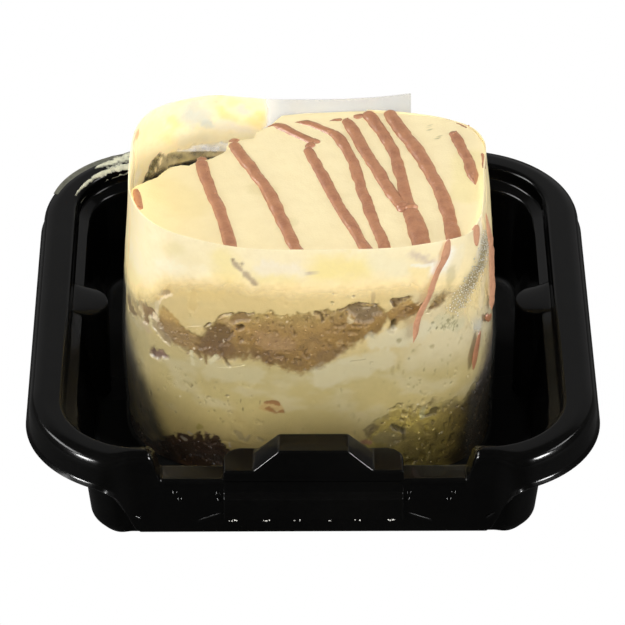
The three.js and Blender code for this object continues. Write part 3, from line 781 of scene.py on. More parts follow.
# %% Marks on the sponge
sponge_marks = [
    # colour, half thickness, depth, strength, places (x, z)
    ("8a7048", 1.2, 0.4, 0.85, [(-45.8, 38.1), (-44.4, 39.6)]),
    ("a3895a", 0.9, 0.2, 0.7, [(-44.6, 43.5), (-42.8, 41)]),
    ("7e5a3c", 1.15, 0.5, 0.9, [(-41.7, 44.1), (-40.4, 44.4), (-39.4, 44.7)]),
    ("87683e", 0.8, 0.5, 0.9, [(-41.2, 42.6), (-40.7, 40.9)]),
    ("a08a66", 1.4, 0.3, 0.8, [(-38.4, 41.6), (-37.4, 40.4), (-36, 39.6)]),
    ("c8b08c", 1.1, 0, 0.6, [(-40.5, 38.9)]),
    # painted shadow along the top of the cream lip
    ("8d7660", 0.65, 0.3, 0.75, [(-37.6, 50.9), (-36.2, 52.1), (-35.2, 52.9)]),
    ("62623c", 0.2, 0.5, 0.75, [(-41.1, 50.6), (-40.95, 45.2)]),
    ("6a6a40", 0.22, 0.4, 0.65, [(-44.3, 49.4), (-43.6, 45.9), (-43.2, 42.5)]),
    ("7c7a50", 0.55, 0.2, 0.6, [(-43.9, 46.6)]), ("b4a070", 0.3, 0.2, 0.6, [(-42.6, 46), (-42.2, 42)]),
    ("8a7440", 0.4, 0.2, 0.7, [(-45.5, 46.3), (-45.3, 41)]),
    ("c8a45c", 1.7, 0.1, 0.9, [(-36, 46.2), (-34.8, 46), (-33.2, 44.2)]),
    ("a08048", 2.6, 0.3, 0.9, [(-34, 42.4), (-29.2, 41.1)]),
    ("f6e4c0", 0.3, 0, 0.95, [(-37.7, 48.2), (-36.6, 50.6), (-34.4, 52.7)]),
    ("f4e2bc", 0.42, 0, 0.95, [(-37.9, 48.3), (-38.2, 45.4)]),
    ("f2dfbb", 0.75, 0, 0.95, [(-38.6, 44.1), (-38.4, 43.4)]),
    ("c4b890", 1.6, 0, 0.6, [(-39.9, 49.2), (-38.9, 47.4)]),
    ("6f5229", 2.8, 0.6, 0.9, [(-25.5, 41), (-24, 43.9), (-22, 45.2)]),
    ("7c5c30", 2.4, 0.4, 0.8, [(-24.6, 39.4), (-21.1, 40)]),
    ("5e4a26", 0.3, 0.8, 0.75, [(-26.4, 46.1), (-24.9, 47.3)]),
    ("655230", 0.3, 0.7, 0.7, [(-23, 49.4), (-21.8, 50.5), (-19.5, 51.1)]),
    ("c5a56c", 0.9, 0.1, 0.9, [(-21.5, 49), (-20.5, 47.7)]),
    ("8a6c40", 1.3, 0.9, 0.85, [(-18.8, 49.4), (-16.2, 50.3)]),
    # a deep hole: its dark colour is partly the crumb's own, partly painted shade inside it
    ("3c240c", 0.9, 2.2, 0.95, [(-18.1, 47), (-17.6, 47.2)]),
    ("6b5630", 0.28, 0.6, 0.75, [(-16.4, 51.1), (-14.5, 51.6)]),
    ("7d6132", 0.5, 0.4, 0.85, [(-28.5, 38.1), (-27.5, 36.6)]),
    ("7d6132", 0.4, 0.4, 0.85, [(-26.3, 37.5), (-26.1, 35.1)]),
    ("6f5228", 0.4, 0.4, 0.85, [(-22.1, 38.3), (-20.4, 35.5)]),
    ("d9cfa6", 0.45, 0, 0.9, [(-29.7, 37.8), (-29.3, 34.4)]),
    ("d9cfa6", 0.55, 0, 0.9, [(-25.1, 36), (-23.6, 37.8)]),
    ("bb966a", 2.4, 0.1, 0.5, [(-12, 44), (-7, 42.4)]),
    ("7f5f33", 1.6, 0.3, 0.6, [(-14, 39.6), (-8, 38.4)]),
    ("7a6238", 0.45, 0.8, 0.9, [(0.8, 52.1), (1.7, 51.9)]),
    ("7a6238", 0.4, 0.8, 0.9, [(2.2, 51.3), (2.5, 49.8)]),
    ("8f7a58", 1.7, 1.2, 0.9, [(10, 52.3), (12.9, 52.3), (14.8, 51.9)]),
    ("8a7452", 1.4, 1.2, 0.9, [(11.9, 49.9), (14.3, 50.5)]),
    ("6f5834", 0.3, 0.8, 0.75, [(6.8, 52.7), (9, 54.1), (12.4, 54.6), (15.7, 54.2)]),
    ("6b5430", 0.28, 1, 0.9, [(10, 48), (11.9, 48.2)]),
    ("cdbb9a", 0.5, 0, 0.8, [(12.7, 52.6), (13.5, 52.9)]),
    ("e3cfa2", 0.7, 0, 0.85, [(8.8, 50.7), (9.3, 49.6)]),
    ("9a8264", 0.5, 0, 0.5, [(14.5, 57.4), (14.5, 54.8)]),
    ("6b5028", 0.8, 1.2, 0.95, [(19.6, 54.7), (20.8, 54.9)]),
    ("6b5028", 0.45, 1, 0.9, [(21.5, 55.3), (23.5, 55.4)]),
    ("6b5028", 0.5, 1, 0.9, [(19.4, 54.5), (19.9, 53.3)]),
    ("8f7242", 0.8, 0.3, 0.75, [(19.2, 46.6), (19.7, 48.9), (22.1, 50.1), (24.7, 51.5), (26.7, 52.3)]),
    ("4f3a18", 0.5, 1.2, 0.9, [(19.7, 47.2), (19.7, 48.9)]),
    ("9c7a45", 1.2, 0.4, 0.85, [(22.1, 51.3), (24.5, 52.1)]),
    ("a08550", 1.5, 0.3, 0.6, [(29.6, 52.6), (31.8, 54.3)]),
    ("6e5228", 0.55, 0.4, 0.8, [(28.7, 51.3), (30.2, 51.9)]),
    ("8c6f42", 1.6, 0.2, 0.6, [(2.5, 38.4), (6.5, 41)]),
]
# painted glints in the brown crumb: pale dots that stand in for small highlights, places (x, z)
GLINTS = [(-25, 45.7), (-24, 43.6), (-25.4, 39.8), (-21.9, 42.5),
          (-28.1, 44.9), (-29.1, 38.9), (15.3, 53.3), (-6.4, 49.4)]
sponge_marks += [("f3e2c0", 0.26, 0.0, 0.95, [place]) for place in GLINTS]

# %% [markdown]
# Some stretches of cream are full of tiny upright dents. Listing them one by one would say no more
# than a few words do, so a helper scatters a number of them round a place. Each call has a seed.

# %% Marks on the cream and on the soaked base
def fine_ticks(amount, middle, reach, colours, seed):
    """Many small upright dents scattered round a place."""
    rng = np.random.default_rng(seed)
    ticks = []
    for _ in range(amount):
        x, z = np.array(middle) + np.array(reach) * rng.normal(0, 0.5, 2)
        length = rng.uniform(0.05, 0.9)
        ticks.append((colours[rng.integers(len(colours))], rng.uniform(0.1, 0.2), rng.uniform(0.1, 0.4),
                      rng.uniform(0.5, 0.9), [(x, z), (x + rng.normal(0, 0.2), z + length)]))
    return ticks


cream_marks = [
    ("dbc080", 1.1, 0.2, 0.7, [(-29, 55.4), (-29.1, 51.4)]),
    ("ead08e", 3.4, 0, 0.6, [(-35, 58), (-30, 56), (-24, 58)]),
    ("82665a", 1.35, 0.6, 0.95, [(-38.5, 33), (-37.1, 33.7)]), ("a98a78", 0.5, 0.2, 0.8, [(-37.6, 34.2)]),
    ("5f463a", 0.36, 0.8, 0.8, [(-39.5, 32.1), (-39.3, 33.3)]),
    ("cfcba8", 2.2, 0.1, 0.6, [(30.9, 46.9), (35.4, 44.6)]),
    ("bf9c60", 1.7, 0, 0.75, [(-10.8, 23.8), (-8.6, 23.4)]),
    ("8c5626", 0.45, 0.1, 0.85, [(-11.6, 25), (-9.9, 25.3), (-8.4, 24.6)]),
    ("93602e", 0.55, 0.1, 0.8, [(-11, 23), (-9, 21.9), (-7.4, 22.3)]),
    # small deep dents: their dark colour is partly painted shade inside them
    ("5c5a38", 0.26, 0.6, 0.7, [(-1.6, 58.6)]), ("5c5a38", 0.34, 0.8, 0.8, [(4.9, 57.6)]),
    ("6d6038", 0.36, 0.8, 0.8, [(9.8, 56.8)]), ("8d7f50", 0.4, 0.6, 0.7, [(4.6, 55)]),
    ("ddd8bc", 2.6, 0, 0.6, [(15, 43.5), (23, 44.6), (27, 46)]),
    ("dcd6b8", 3.4, 0, 0.5, [(3, 33), (10, 36), (17, 38)]),
    ("d3cca8", 2.8, 0, 0.45, [(-24, 33), (-14, 33.5)]), ("a59a70", 0.5, 0.2, 0.7, [(20.9, 43.2)]),
    ("a09468", 0.6, 0.2, 0.6, [(29.1, 40.1)]), ("8f8460", 0.3, 0.3, 0.8, [(23.5, 37.6)]),
    ("a09468", 0.4, 0.2, 0.6, [(24.4, 39.8)]), ("7d7250", 0.32, 0.4, 0.7, [(-20.9, 26.2)]),
    ("e9dfb8", 0.45, 0, 0.8, [(-32.7, 23.2)]), ("857a4e", 0.36, 0.4, 0.6, [(-34, 17.6)]),
    ("b8a05c", 1.2, 0.1, 0.4, [(-18.6, 21), (-17.8, 18.6)]),
]
cream_marks += fine_ticks(44, (33.2, 45.4), (3.6, 2.4), ("6d6a48", "8f8a62", "a39c74"), 61)
cream_marks += fine_ticks(16, (31, 54.0), (1.8, 2.2), ("6c5a34", "8a784c"), 62)
cream_marks += fine_ticks(36, (28, 30), (14, 8), ("8f8658", "a89c6c"), 63)
cream_marks += fine_ticks(30, (-24, 25), (16, 8), ("8f8250", "a89866"), 64)
base_marks = [
    ("2b1a08", 2.4, 0.6, 0.9, [(-33, 5.4), (-29, 6.6), (-24, 6.4), (-19, 4)]),
    ("3a1f0a", 1.6, 0.6, 0.7, [(-28, 8.4), (-23, 8)]),
    ("b5a890", 0.5, 0, 0.85, [(-32.5, 9.9), (-31.7, 9.5)]),
    ("b8aa92", 0.4, 0, 0.85, [(-30.7, 12.5), (-30.2, 12)]), ("8a6a50", 0.5, 0, 0.8, [(-26.2, 13.5)]),
    ("c9bca0", 0.3, 0, 0.9, [(-23.2, 11.9)]), ("c9bca0", 0.3, 0, 0.9, [(-20.7, 11.3), (-20.5, 10.3)]),
    ("9a8a34", 0.9, 0, 0.7, [(-27.9, 15)]), ("a4946a", 0.6, 0.2, 0.6, [(-19, 15.1), (-17.7, 13.3)]),
    ("a4946a", 0.5, 0.2, 0.6, [(-16.7, 12.7), (-15.7, 14.1)]),
    ("a4946a", 0.5, 0.2, 0.6, [(-13.5, 13.6), (-12.5, 12.7)]),
    ("a8985a", 2.2, 0, 0.75, [(17.4, 13.5), (20.1, 12.6)]),
    # dark holes in the soaked base (this line, the next, and 54491c below): partly the crumb's colour,
    # partly painted shade inside them
    ("4a3f16", 1.1, 0.9, 0.8, [(20.3, 16.1), (22.5, 15.2)]),
    ("4d4218", 0.5, 0.6, 0.6, [(22.5, 15.2), (22.8, 12)]),
    # painted shadow in the soaked base
    ("6a5826", 1.3, 0.4, 0.7, [(13.6, 15.3), (15.1, 16.5)]),
    ("54491c", 1, 0.8, 0.8, [(28.7, 19), (30.4, 20.1)]),
    ("c0b880", 0.65, 0, 0.85, [(27.4, 21.5), (27.2, 18.7)]),
    # the pale ece4c0 dots on this line and the two below are painted glints on the soaked crumb
    ("c08a62", 0.6, 0, 0.9, [(12.4, 12.3), (14.2, 12)]), ("ece4c0", 0.24, 0, 0.9, [(25, 13.9)]),
    ("ece4c0", 0.24, 0, 0.9, [(26, 13.4)]), ("ece4c0", 0.24, 0, 0.9, [(32.1, 12.5)]),
    ("ece4c0", 0.24, 0, 0.9, [(25.8, 23.2)]),
]
print("marks on sponge, cream and base:", len(sponge_marks), len(cream_marks), len(base_marks))

# %% [markdown]
# ## Colours over the wall
# Cream darkens downwards, partly as it takes up milk and partly as painted shade, low in the tray
# and just under the film's smeared band. The sponge band has ragged edges, and the crumb at the foot
# is soaked. The band's edges are drawn by interpolating between a few heights along the front.
# Elsewhere round the cake the edges follow the layer faces, with the same raggedness.

# %% Edges of the sponge band and the base
BAND_TOP = np.array([
    (-50, 36), (-39.2, 36), (-37.8, 44.5), (-36.6, 48.2), (-34.8, 47.6), (-32.6, 45.6), (-30, 43.2),
    (-27.5, 41), (-25.6, 45.4), (-23, 49.2), (-19, 50.2), (-14.5, 50.8), (-10, 52.4), (-7.6, 51),
    (-4.8, 51.9), (0, 52.2), (4.4, 52.6), (8, 54), (15.8, 54.9), (17.6, 51.5), (19.5, 54), (23.5, 55.4),
    (25, 52.5), (28, 51), (29.5, 53.5), (33, 55.8), (34.5, 53.5), (46, 54),
])
BAND_LOW = np.array([
    (-50, 41), (-39.2, 41), (-37, 40), (-33.6, 38.4), (-29, 37.4), (-26, 37), (-20, 37.6), (-15, 38.8),
    (-12, 37), (-8, 36.2), (-4.6, 34.2), (-2, 33.8), (2, 35.1), (5.2, 38.6), (8.8, 42), (12.4, 44.3),
    (16, 46.3), (18.2, 50.5), (19.6, 47), (21, 48.5), (25, 50.2), (28, 50.9), (30, 51), (32.5, 53),
    (34.5, 53.5), (46, 54),
])
BASE_EDGE = np.array([
    (-50, 3), (-38, 6), (-35.8, 8.7), (-32.5, 10.6), (-29, 11.8), (-26.7, 13), (-24.4, 12.6), (-22, 11),
    (-19.8, 9), (-16, 5), (-8, 4), (4, 6), (10, 9), (12.2, 12.4), (14.6, 18), (17.5, 21.6),
    (21.4, 23.2), (25.4, 22.6), (30.4, 22.4), (35.2, 22), (38.5, 22.2), (42, 25), (48, 31),
])


def edge_heights(points):
    """Heights of the band's two edges and of the base's edge at each point of the wall."""
    x, y = points[..., 0], points[..., 1]
    frontal = eased(4, -8, y)
    ragged = cloud(points * [1, 1, 0.4], 2.2, 21, 3) + 0.5 * cloud(points * [1, 1, 0.45], 0.8, 22, 2)
    band_top = frontal * np.interp(x, *BAND_TOP.T) + (1 - frontal) * sponge_top(x, y)
    band_low = frontal * np.interp(x, *BAND_LOW.T) + (1 - frontal) * sponge_floor(x, y)
    base = frontal * np.interp(x, *BASE_EDGE.T) + (1 - frontal) * (base_top(x, y) + 2)
    return band_top + 0.7 * ragged, band_low - 1.3 * ragged, base + 1.8 * ragged


# %% Paint the wall
# cream by height: darker downwards, partly from milk taken up and partly painted shade low in the tray and
# just under the film's smeared band
CREAM_AND_SHADE_BY_HEIGHT = [
    (0, "b09654"), (14, "c4ae6c"), (24, "c3b174"), (34, "c2b27c"), (46, "dbc489"), (56, "e2ca8e"),
    (61, "eed8a0"), (66, "f7e6b4"), (72, "faecc4"),
]
BROWN_IN_BAND = [(0.0, "886a30"), (0.3, "987538"), (0.7, "ab884c"), (1.0, "b99d5c")]
# colours of the soaked base from left to right: its own browns, and towards the right end (36 to 42)
# painted shade
WET_BASE_AND_SHADE_FROM_LEFT = [(-30, "3c2306"), (-10, "5c4520"), (13, "c0a84c"), (27, "c9b254"), (36, "7c6a30"),
                 (42, "42341a")]
# colours of the painted shade at the lower right corner of the wall, darkest low down
RIGHT_CORNER_SHADE_BY_HEIGHT = [(8, "0c0903"), (18, "1a1206"), (28, "30190a"), (42, "5a4a20")]


def by_height(z, steps):
    heights = [step[0] for step in steps]
    colours = np.array([tone(step[1]) for step in steps])
    return np.stack([np.interp(z, heights, colours[:, k]) for k in range(3)], axis=-1)


def paint_wall(points):
    """Colour, depth and crumbliness of every point of the cake's wall."""
    x, z = points[..., 0], points[..., 2]
    band_top, band_low, base = edge_heights(points)
    broad, middling = cloud(points, 11, 31, 3), cloud(points, 3.4, 32, 4)
    speckle = cloud(points, 0.9, 33, 2)
    torn = 1.1 * middling + 1.1 * speckle
    uneven = (1 + 0.05 * broad + 0.05 * middling + 0.05 * speckle)[..., None]
    colours = by_height(z + 3 * broad, CREAM_AND_SHADE_BY_HEIGHT) * uneven
    milky = eased(0.0, 0.5, cloud(points * [1, 1, 1.7], 8, 34, 4)) * eased(52, 44, z) * eased(14, 24, z)
    colours = stir(colours, 0.35 * milky, tone("d6cfae"))
    pale_side = eased(16, 30, x) * eased(60, 54, z) * eased(30, 40, z)
    colours = stir(colours, 0.6 * pale_side, tone("e2dabb"))
    streaks = cloud(points * [1, 1, 0.3], 1.4, 41, 3) * eased(36, 44, np.abs(x))
    colours = colours * (1 + 0.14 * streaks)[..., None]
    stained = eased(0.1, 0.55, cloud(points, 5, 36, 4)) * eased(50, 40, z)
    colours = stir(colours, 0.25 * stained, tone("a8945a"))
    dabs = eased(0.42, 0.62, cloud(points * [1, 1, 0.7], 1.3, 40, 3)) * eased(58, 50, z)
    colours = stir(colours, 0.35 * dabs, tone("9c8a54"))
    in_band = eased(0.5, -0.5, z - band_top + torn) * eased(-1.2, 1.2, z - band_low + 1.2 * torn)
    height_in_band = np.clip((z - band_low) / np.maximum(band_top - band_low, 1), 0, 1)
    brown = by_height(height_in_band, BROWN_IN_BAND)
    grain, pores = cloud(points, 1.3, 35, 3), cloud(points, 0.75, 38, 2)
    brown = brown * (1 + 0.16 * cloud(points, 3.2, 35, 4) + 0.2 * grain + 0.12 * speckle)[..., None]
    brown = stir(brown, 0.5 * eased(0.3, 0.6, grain), tone("cdb07e"))
    # dark pores, here and in the soaked base below: partly the crumb's own colour, partly painted shade in
    # the holes
    brown = stir(brown, 0.55 * eased(0.4, 0.7, pores), tone("5a4020"))
    below = base - z
    wet_base_and_shade = by_height(x, WET_BASE_AND_SHADE_FROM_LEFT)
    wet_base_and_shade = stir(wet_base_and_shade, eased(3.5, 0, below) * eased(0, 14, x), tone("b5a462"))
    wet_base_and_shade = stir(wet_base_and_shade, 0.6 * eased(4, 10, below) * eased(0, 14, x), tone("8f7e3c"))
    wet_base_and_shade = wet_base_and_shade * (1 + 0.3 * cloud(points, 2.4, 37, 4) + 0.3 * grain + 0.15 * speckle)[..., None]
    wet_base_and_shade = stir(wet_base_and_shade, 0.5 * eased(0.35, 0.65, pores), tone("2f230c"))
    in_base = eased(0.9, -0.7, z - base + 1.5 * torn)
    colours = stir(stir(colours, in_band, brown), in_base, wet_base_and_shade)
    crumb = np.maximum(in_band, in_base)
    pits = np.maximum(eased(0.25, 0.6, cloud(points, 1.5, 39, 2)), eased(0.4, 0.7, pores))
    depth = in_band * (0.2 + 0.5 * pits) + in_base * (0.25 + 0.6 * pits)
    depth = depth + (1 - crumb) * (0.12 * eased(0.2, 0.7, middling) + 0.15 * dabs)
    # painted shade: the wall is darkened where pits are carved into the crumb
    colours = colours * (1 - 0.2 * pits * crumb)[..., None]
    frontal = points[..., 1] < 6
    marks = sponge_marks + cream_marks + base_marks
    marked, deeper = lay_marks(points[frontal], x[frontal], colours[frontal], depth[frontal], marks)
    colours[frontal], depth[frontal] = marked, deeper
    # painted shade: both lower corners of the wall are darkened where the tray's rim keeps the side light
    # off; at the right the same mask also makes the wall crumbly
    left_corner_painted_shade = eased(2.2, -3.0, x + 46.6 - 0.40 * (36 - z) + 0.8 * middling) * eased(44, 34, z)
    right_corner_crumb_and_shade = eased(-2.0, 2.6, x - 44.6 + 0.3 * (38 - z) + 1.4 * middling) * eased(48, 38, z)
    colours = stir(colours, 0.95 * left_corner_painted_shade, tone("140f06"))
    colours = stir(colours, 0.93 * right_corner_crumb_and_shade, by_height(z, RIGHT_CORNER_SHADE_BY_HEIGHT))
    return np.clip(colours, 0.004, 1), depth, np.maximum(crumb, right_corner_crumb_and_shade)


# %% [markdown]
# ## Finish of cake and cream
# The wall's colours are kept on the mesh as a colour attribute named "tint", and a second one
# named "crumb" says how much of each place is sponge. One material serves all four layers, so
# no seam shows where two solids meet: cream is smooth and faintly moist, crumb is rougher, and
# the mottling group breaks both up below the size of the mesh.

# %% Material that reads the tint
def cake_material(name, stain, amount, broad_scale, rough, strength):
    made, tree, shader = new_material(name)
    crumb = kept(tree, "crumb")
    stain = blend_colours(tree, crumb, stain, "5a3e1c")
    amount = between(tree, crumb, amount, amount + 0.22)
    grade = mottled(tree, shader, kept(tree, "tint", "Color"), stain, amount, broad_scale, 1900.0)
    smooth_part = between(tree, grade["Mask"], *rough)
    roughness = maths(tree, "ADD", smooth_part, maths(tree, "MULTIPLY", crumb, 0.12))
    height = maths(tree, "MULTIPLY", grade["Height"], between(tree, crumb, 0.3, 1.0))
    relief = bump(tree, height, strength, 0.0003)
    fill_in(tree, shader, {"Roughness": roughness, "Normal": relief, "IOR": 1.4})
    return made


cake_finish = cake_material("cake_and_cream", "dcc486", 0.16, 260.0, (0.42, 0.6), 0.7)

# %% [markdown]
# ## One layer of the cake
# A layer is a closed body: a floor, a wall that follows the outline, and a roof. The wall is
# moved inwards by the depth that the marks gave. The lower three layers only show their wall, so
# their floors and roofs stay simple.

# %% Build a layer
def edge_of(face):
    """Height of a face along the wall. It is looked up again as the broken edge moves points in."""
    z = face(*MIDDLE) * np.ones(len(cake_angles))
    for _ in range(4):
        ring, _gone = break_away(outline(cake_angles, z))
        z = face(ring[:, 0], ring[:, 1])
    return z


def pressed_wall(low_face, high_face, rows):
    """Wall of one layer with its marks pressed in, its colours and how crumbly it is."""
    share = np.linspace(0, 1, rows)[:, None]
    z = edge_of(low_face) * (1 - share) + edge_of(high_face) * share
    angle = np.broadcast_to(cake_angles, z.shape)
    colours, depth, crumb = paint_wall(outline(angle, z))
    carved = outline(angle, z, -depth * eased(0, 1.2, z - 1.0))
    broken, gone = break_away(carved)
    crumbly = by_height(z, [(0, "6a4c22"), (40, "a88450"), (52, "e9d296"), (66, "f3e0a8")])
    return broken, np.where(gone[..., None], crumbly, colours), crumb


def inner_ring(ring, face, share):
    """A ring drawn in to a share of its size, laid on a face."""
    inner = ring.copy()
    inner[:, :2] = MIDDLE + (ring[:, :2] - MIDDLE) * share
    inner[:, 2] = face(inner[:, 0], inner[:, 1])
    return inner


def with_ends(rows, copies=3):
    """The first and last row repeated, for the rings of floor and roof."""
    return np.concatenate([np.repeat(rows[:1], copies, axis=0), rows, np.repeat(rows[-1:], copies, axis=0)])


def layer(name, node_name, slot, low_face, high_face, rows):
    wall, colours, crumb = pressed_wall(low_face, high_face, rows)
    body = np.concatenate([[inner_ring(wall[0], low_face, share) for share in (0.3, 0.6, 0.9)], wall,
                           [inner_ring(wall[-1], high_face, share) for share in (0.9, 0.6, 0.3)]])
    points, faces = closed_rows(body, [*MIDDLE, low_face(*MIDDLE)], [*MIDDLE, high_face(*MIDDLE)])
    piece = make_piece(name, points, faces, cake_finish, crease=80)
    set_tint(piece, np.concatenate([with_ends(colours).reshape(-1, 3), colours[0, :1], colours[-1, :1]]))
    set_value(piece, "crumb", np.concatenate([with_ends(crumb).ravel(), [1.0, 1.0]]))
    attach(piece, "root")
    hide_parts(node_name)


layer("soaked_base", "sponge_base", "soaked_sponge", floor_face, base_top, 48)
layer("lower_cream", "cream_lower", "cream", base_top, sponge_floor, 96)
layer("sponge_layer", "sponge_middle", "sponge", sponge_floor, sponge_top, 42)

# %% [markdown]
# ## The top layer of cream
# Its roof is what the eye meets first: spread with a blade, nearly flat, with faint hollows and
# a soft shoulder at the rim. The roof is rings that shrink to the middle, so the broken back
# left edge keeps its ragged line, and a cloud moves it up and down by a quarter of a millimetre.

# %% Cream roof with its shoulder
roof_marks = [
    # colour, half thickness, depth, strength, places (x, y)
    ("dccb90", 2.2, 0, 0.35, [(-14, 3), (-11, 2)]), ("d8cc94", 1.6, 0, 0.3, [(-7, -13), (-5, -11)]),
    ("e6d18c", 5, 0, 0.3, [(-36, 4), (-30, -3)]), ("efe0a0", 4, 0, 0.5, [(38, -2), (39, 12)]),
    ("8f8a50", 0.22, 0.3, 0.8, [(29.9, 26.6), (29.5, 24.9)]),
    ("8f8a50", 0.22, 0.3, 0.8, [(31.9, 22.2), (31.3, 21)]),
]


def roof_colours(points):
    x, y = points[..., 0], points[..., 1]
    broad, fine_cloud = cloud(points, 16, 51, 3), cloud(points, 5, 53, 3)
    warm = eased(-12, -42, x)
    colours = stir(tone("f7e7b9"), 0.4 * warm, tone("f0dc9c"))
    colours = colours * (1 + 0.025 * broad + 0.02 * fine_cloud)[..., None]
    from_above = np.stack([x, y, y], axis=-1)
    return lay_marks(from_above, x, colours, np.zeros(x.shape), roof_marks, 0.6)


def cream_roof(wall):
    rings, tints = [], []
    for share in np.concatenate([[0.997, 0.99, 0.98], np.linspace(0.965, 0.03, 44)]):
        ring = wall[-1].copy()
        ring[:, :2] = MIDDLE + (ring[:, :2] - MIDDLE) * share
        colours, dent = roof_colours(ring)
        inward = (1 - share) * 38.0
        shoulder = (0.9 - 0.8 * eased(6, 22, ring[:, 1] + 0.4 * ring[:, 0])) * (1 - eased(0, 1.3, inward))
        waves = 0.25 * cloud(ring * [1, 1, 0], 13, 57, 3) + 0.06 * cloud(ring * [1, 1, 0], 2.4, 58, 2)
        ring[:, 2] = top_face(ring[:, 0], ring[:, 1]) - shoulder - dent + waves * eased(0, 4, inward)
        rings.append(ring)
        tints.append(colours)
    return np.array(rings), np.array(tints)


# %% [markdown]
# Along the right side, and round to the back, the cream's rim bulges over a little like a lip. The
# angle round the cake says where, and the upper wall is pushed outwards there.

# %% Wall, lip and the finished cream top
wall, wall_tints, wall_crumb = pressed_wall(sponge_top, lambda x, y: top_face(x, y) - 1.0, 44)
lip = np.maximum(eased(98, 84, cake_angles), eased(336, 358, cake_angles))
outward = wall[..., :2] - MIDDLE
outward = outward / np.linalg.norm(outward, axis=-1, keepdims=True)
wall[..., :2] += outward * (1.05 * lip * eased(59, 66, wall[..., 2]))[..., None]
roof, roof_tints = cream_roof(wall)
points, faces = closed_rows(np.concatenate([[inner_ring(wall[0], sponge_top, 0.6)], wall, roof]),
                            [*MIDDLE, sponge_top(*MIDDLE)], [*MIDDLE, roof[-1, :, 2].mean()])
cream_top = make_piece("top_cream", points, faces, cake_finish, crease=80)
set_tint(cream_top, np.concatenate([wall_tints[0], wall_tints.reshape(-1, 3), roof_tints.reshape(-1, 3),
                                    wall_tints[0, :1], roof_tints[-1, :1]]))
no_crumb = np.zeros(roof_tints[..., 0].size + 2)
set_value(cream_top, "crumb", np.concatenate([wall_crumb[0], wall_crumb.ravel(), no_crumb]))
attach(cream_top, "root")
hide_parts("cream_top")

# %% [markdown]
# ## Caramel drizzle
# Stripes of milk caramel were squeezed across the top in quick strokes. Each is a rounded bead
# about three millimetres wide that wavers and has small knots. It follows a path, so Geometry
# Nodes sweep it: the path becomes a curve, noise varies its radius, and a flattened circle is
# drawn along it.

# %% The drizzle finish
drizzle_finish, tree, shader = new_material("milk_caramel")
grade = mottled(tree, shader, "b9835f", "955e42", 0.8, 330.0, 1500.0)
fill_in(tree, shader, {"Roughness": between(tree, grade["Mask"], 0.3, 0.5), "IOR": 1.45,
                       "Normal": bump(tree, grade["Height"], 0.35, 0.0004)})

# %% Geometry Nodes: a drizzled bead
bead_tree, given, result = new_group(
    "drizzled_bead", "GeometryNodeTree",
    [("Path", "NodeSocketGeometry", None), ("Height Share", "NodeSocketFloat", 0.5),
     ("Lumps", "NodeSocketFloat", 0.25), ("Ripple", "NodeSocketFloat", 0.0002),
     ("Finish", "NodeSocketMaterial", None)],
    [("Bead", "NodeSocketGeometry")])
curve = node(bead_tree, "GeometryNodeMeshToCurve", {"Mesh": given["Path"]})
width = node(bead_tree, "GeometryNodeInputNamedAttribute", {"Name": "half_width"}, data_type="FLOAT")
where = node(bead_tree, "GeometryNodeInputPosition").outputs["Position"]
lumpy = maths(bead_tree, "SUBTRACT", noise(bead_tree, where, 210.0, 2.0), 0.5)
lumpy = maths(bead_tree, "MULTIPLY", lumpy, given["Lumps"])
radius = maths(bead_tree, "MULTIPLY", width.outputs["Attribute"], maths(bead_tree, "ADD", lumpy, 1.0))
level_curve = node(bead_tree, "GeometryNodeSetCurveNormal", {"Curve": curve.outputs[0]}, mode="Z_UP")
circle = node(bead_tree, "GeometryNodeCurvePrimitiveCircle", {"Resolution": 14, "Radius": 1.0})
shape = node(bead_tree, "ShaderNodeCombineXYZ", {"X": 1.0, "Y": given["Height Share"], "Z": 1.0}).outputs[0]
pressed = node(bead_tree, "GeometryNodeTransform", {"Geometry": circle.outputs["Curve"], "Scale": shape})
swept = node(bead_tree, "GeometryNodeCurveToMesh", {"Curve": level_curve.outputs[0], "Scale": radius,
                                                    "Profile Curve": pressed.outputs[0], "Fill Caps": True})
crinkle = maths(bead_tree, "SUBTRACT", noise(bead_tree, where, 700.0, 2.0), 0.5)
crinkle = maths(bead_tree, "MULTIPLY", crinkle, given["Ripple"])
bead_tree.links.new(roughened(bead_tree, swept.outputs[0], crinkle, given["Finish"]), result.inputs["Bead"])
print("drizzle tree has", len(bead_tree.nodes), "nodes")

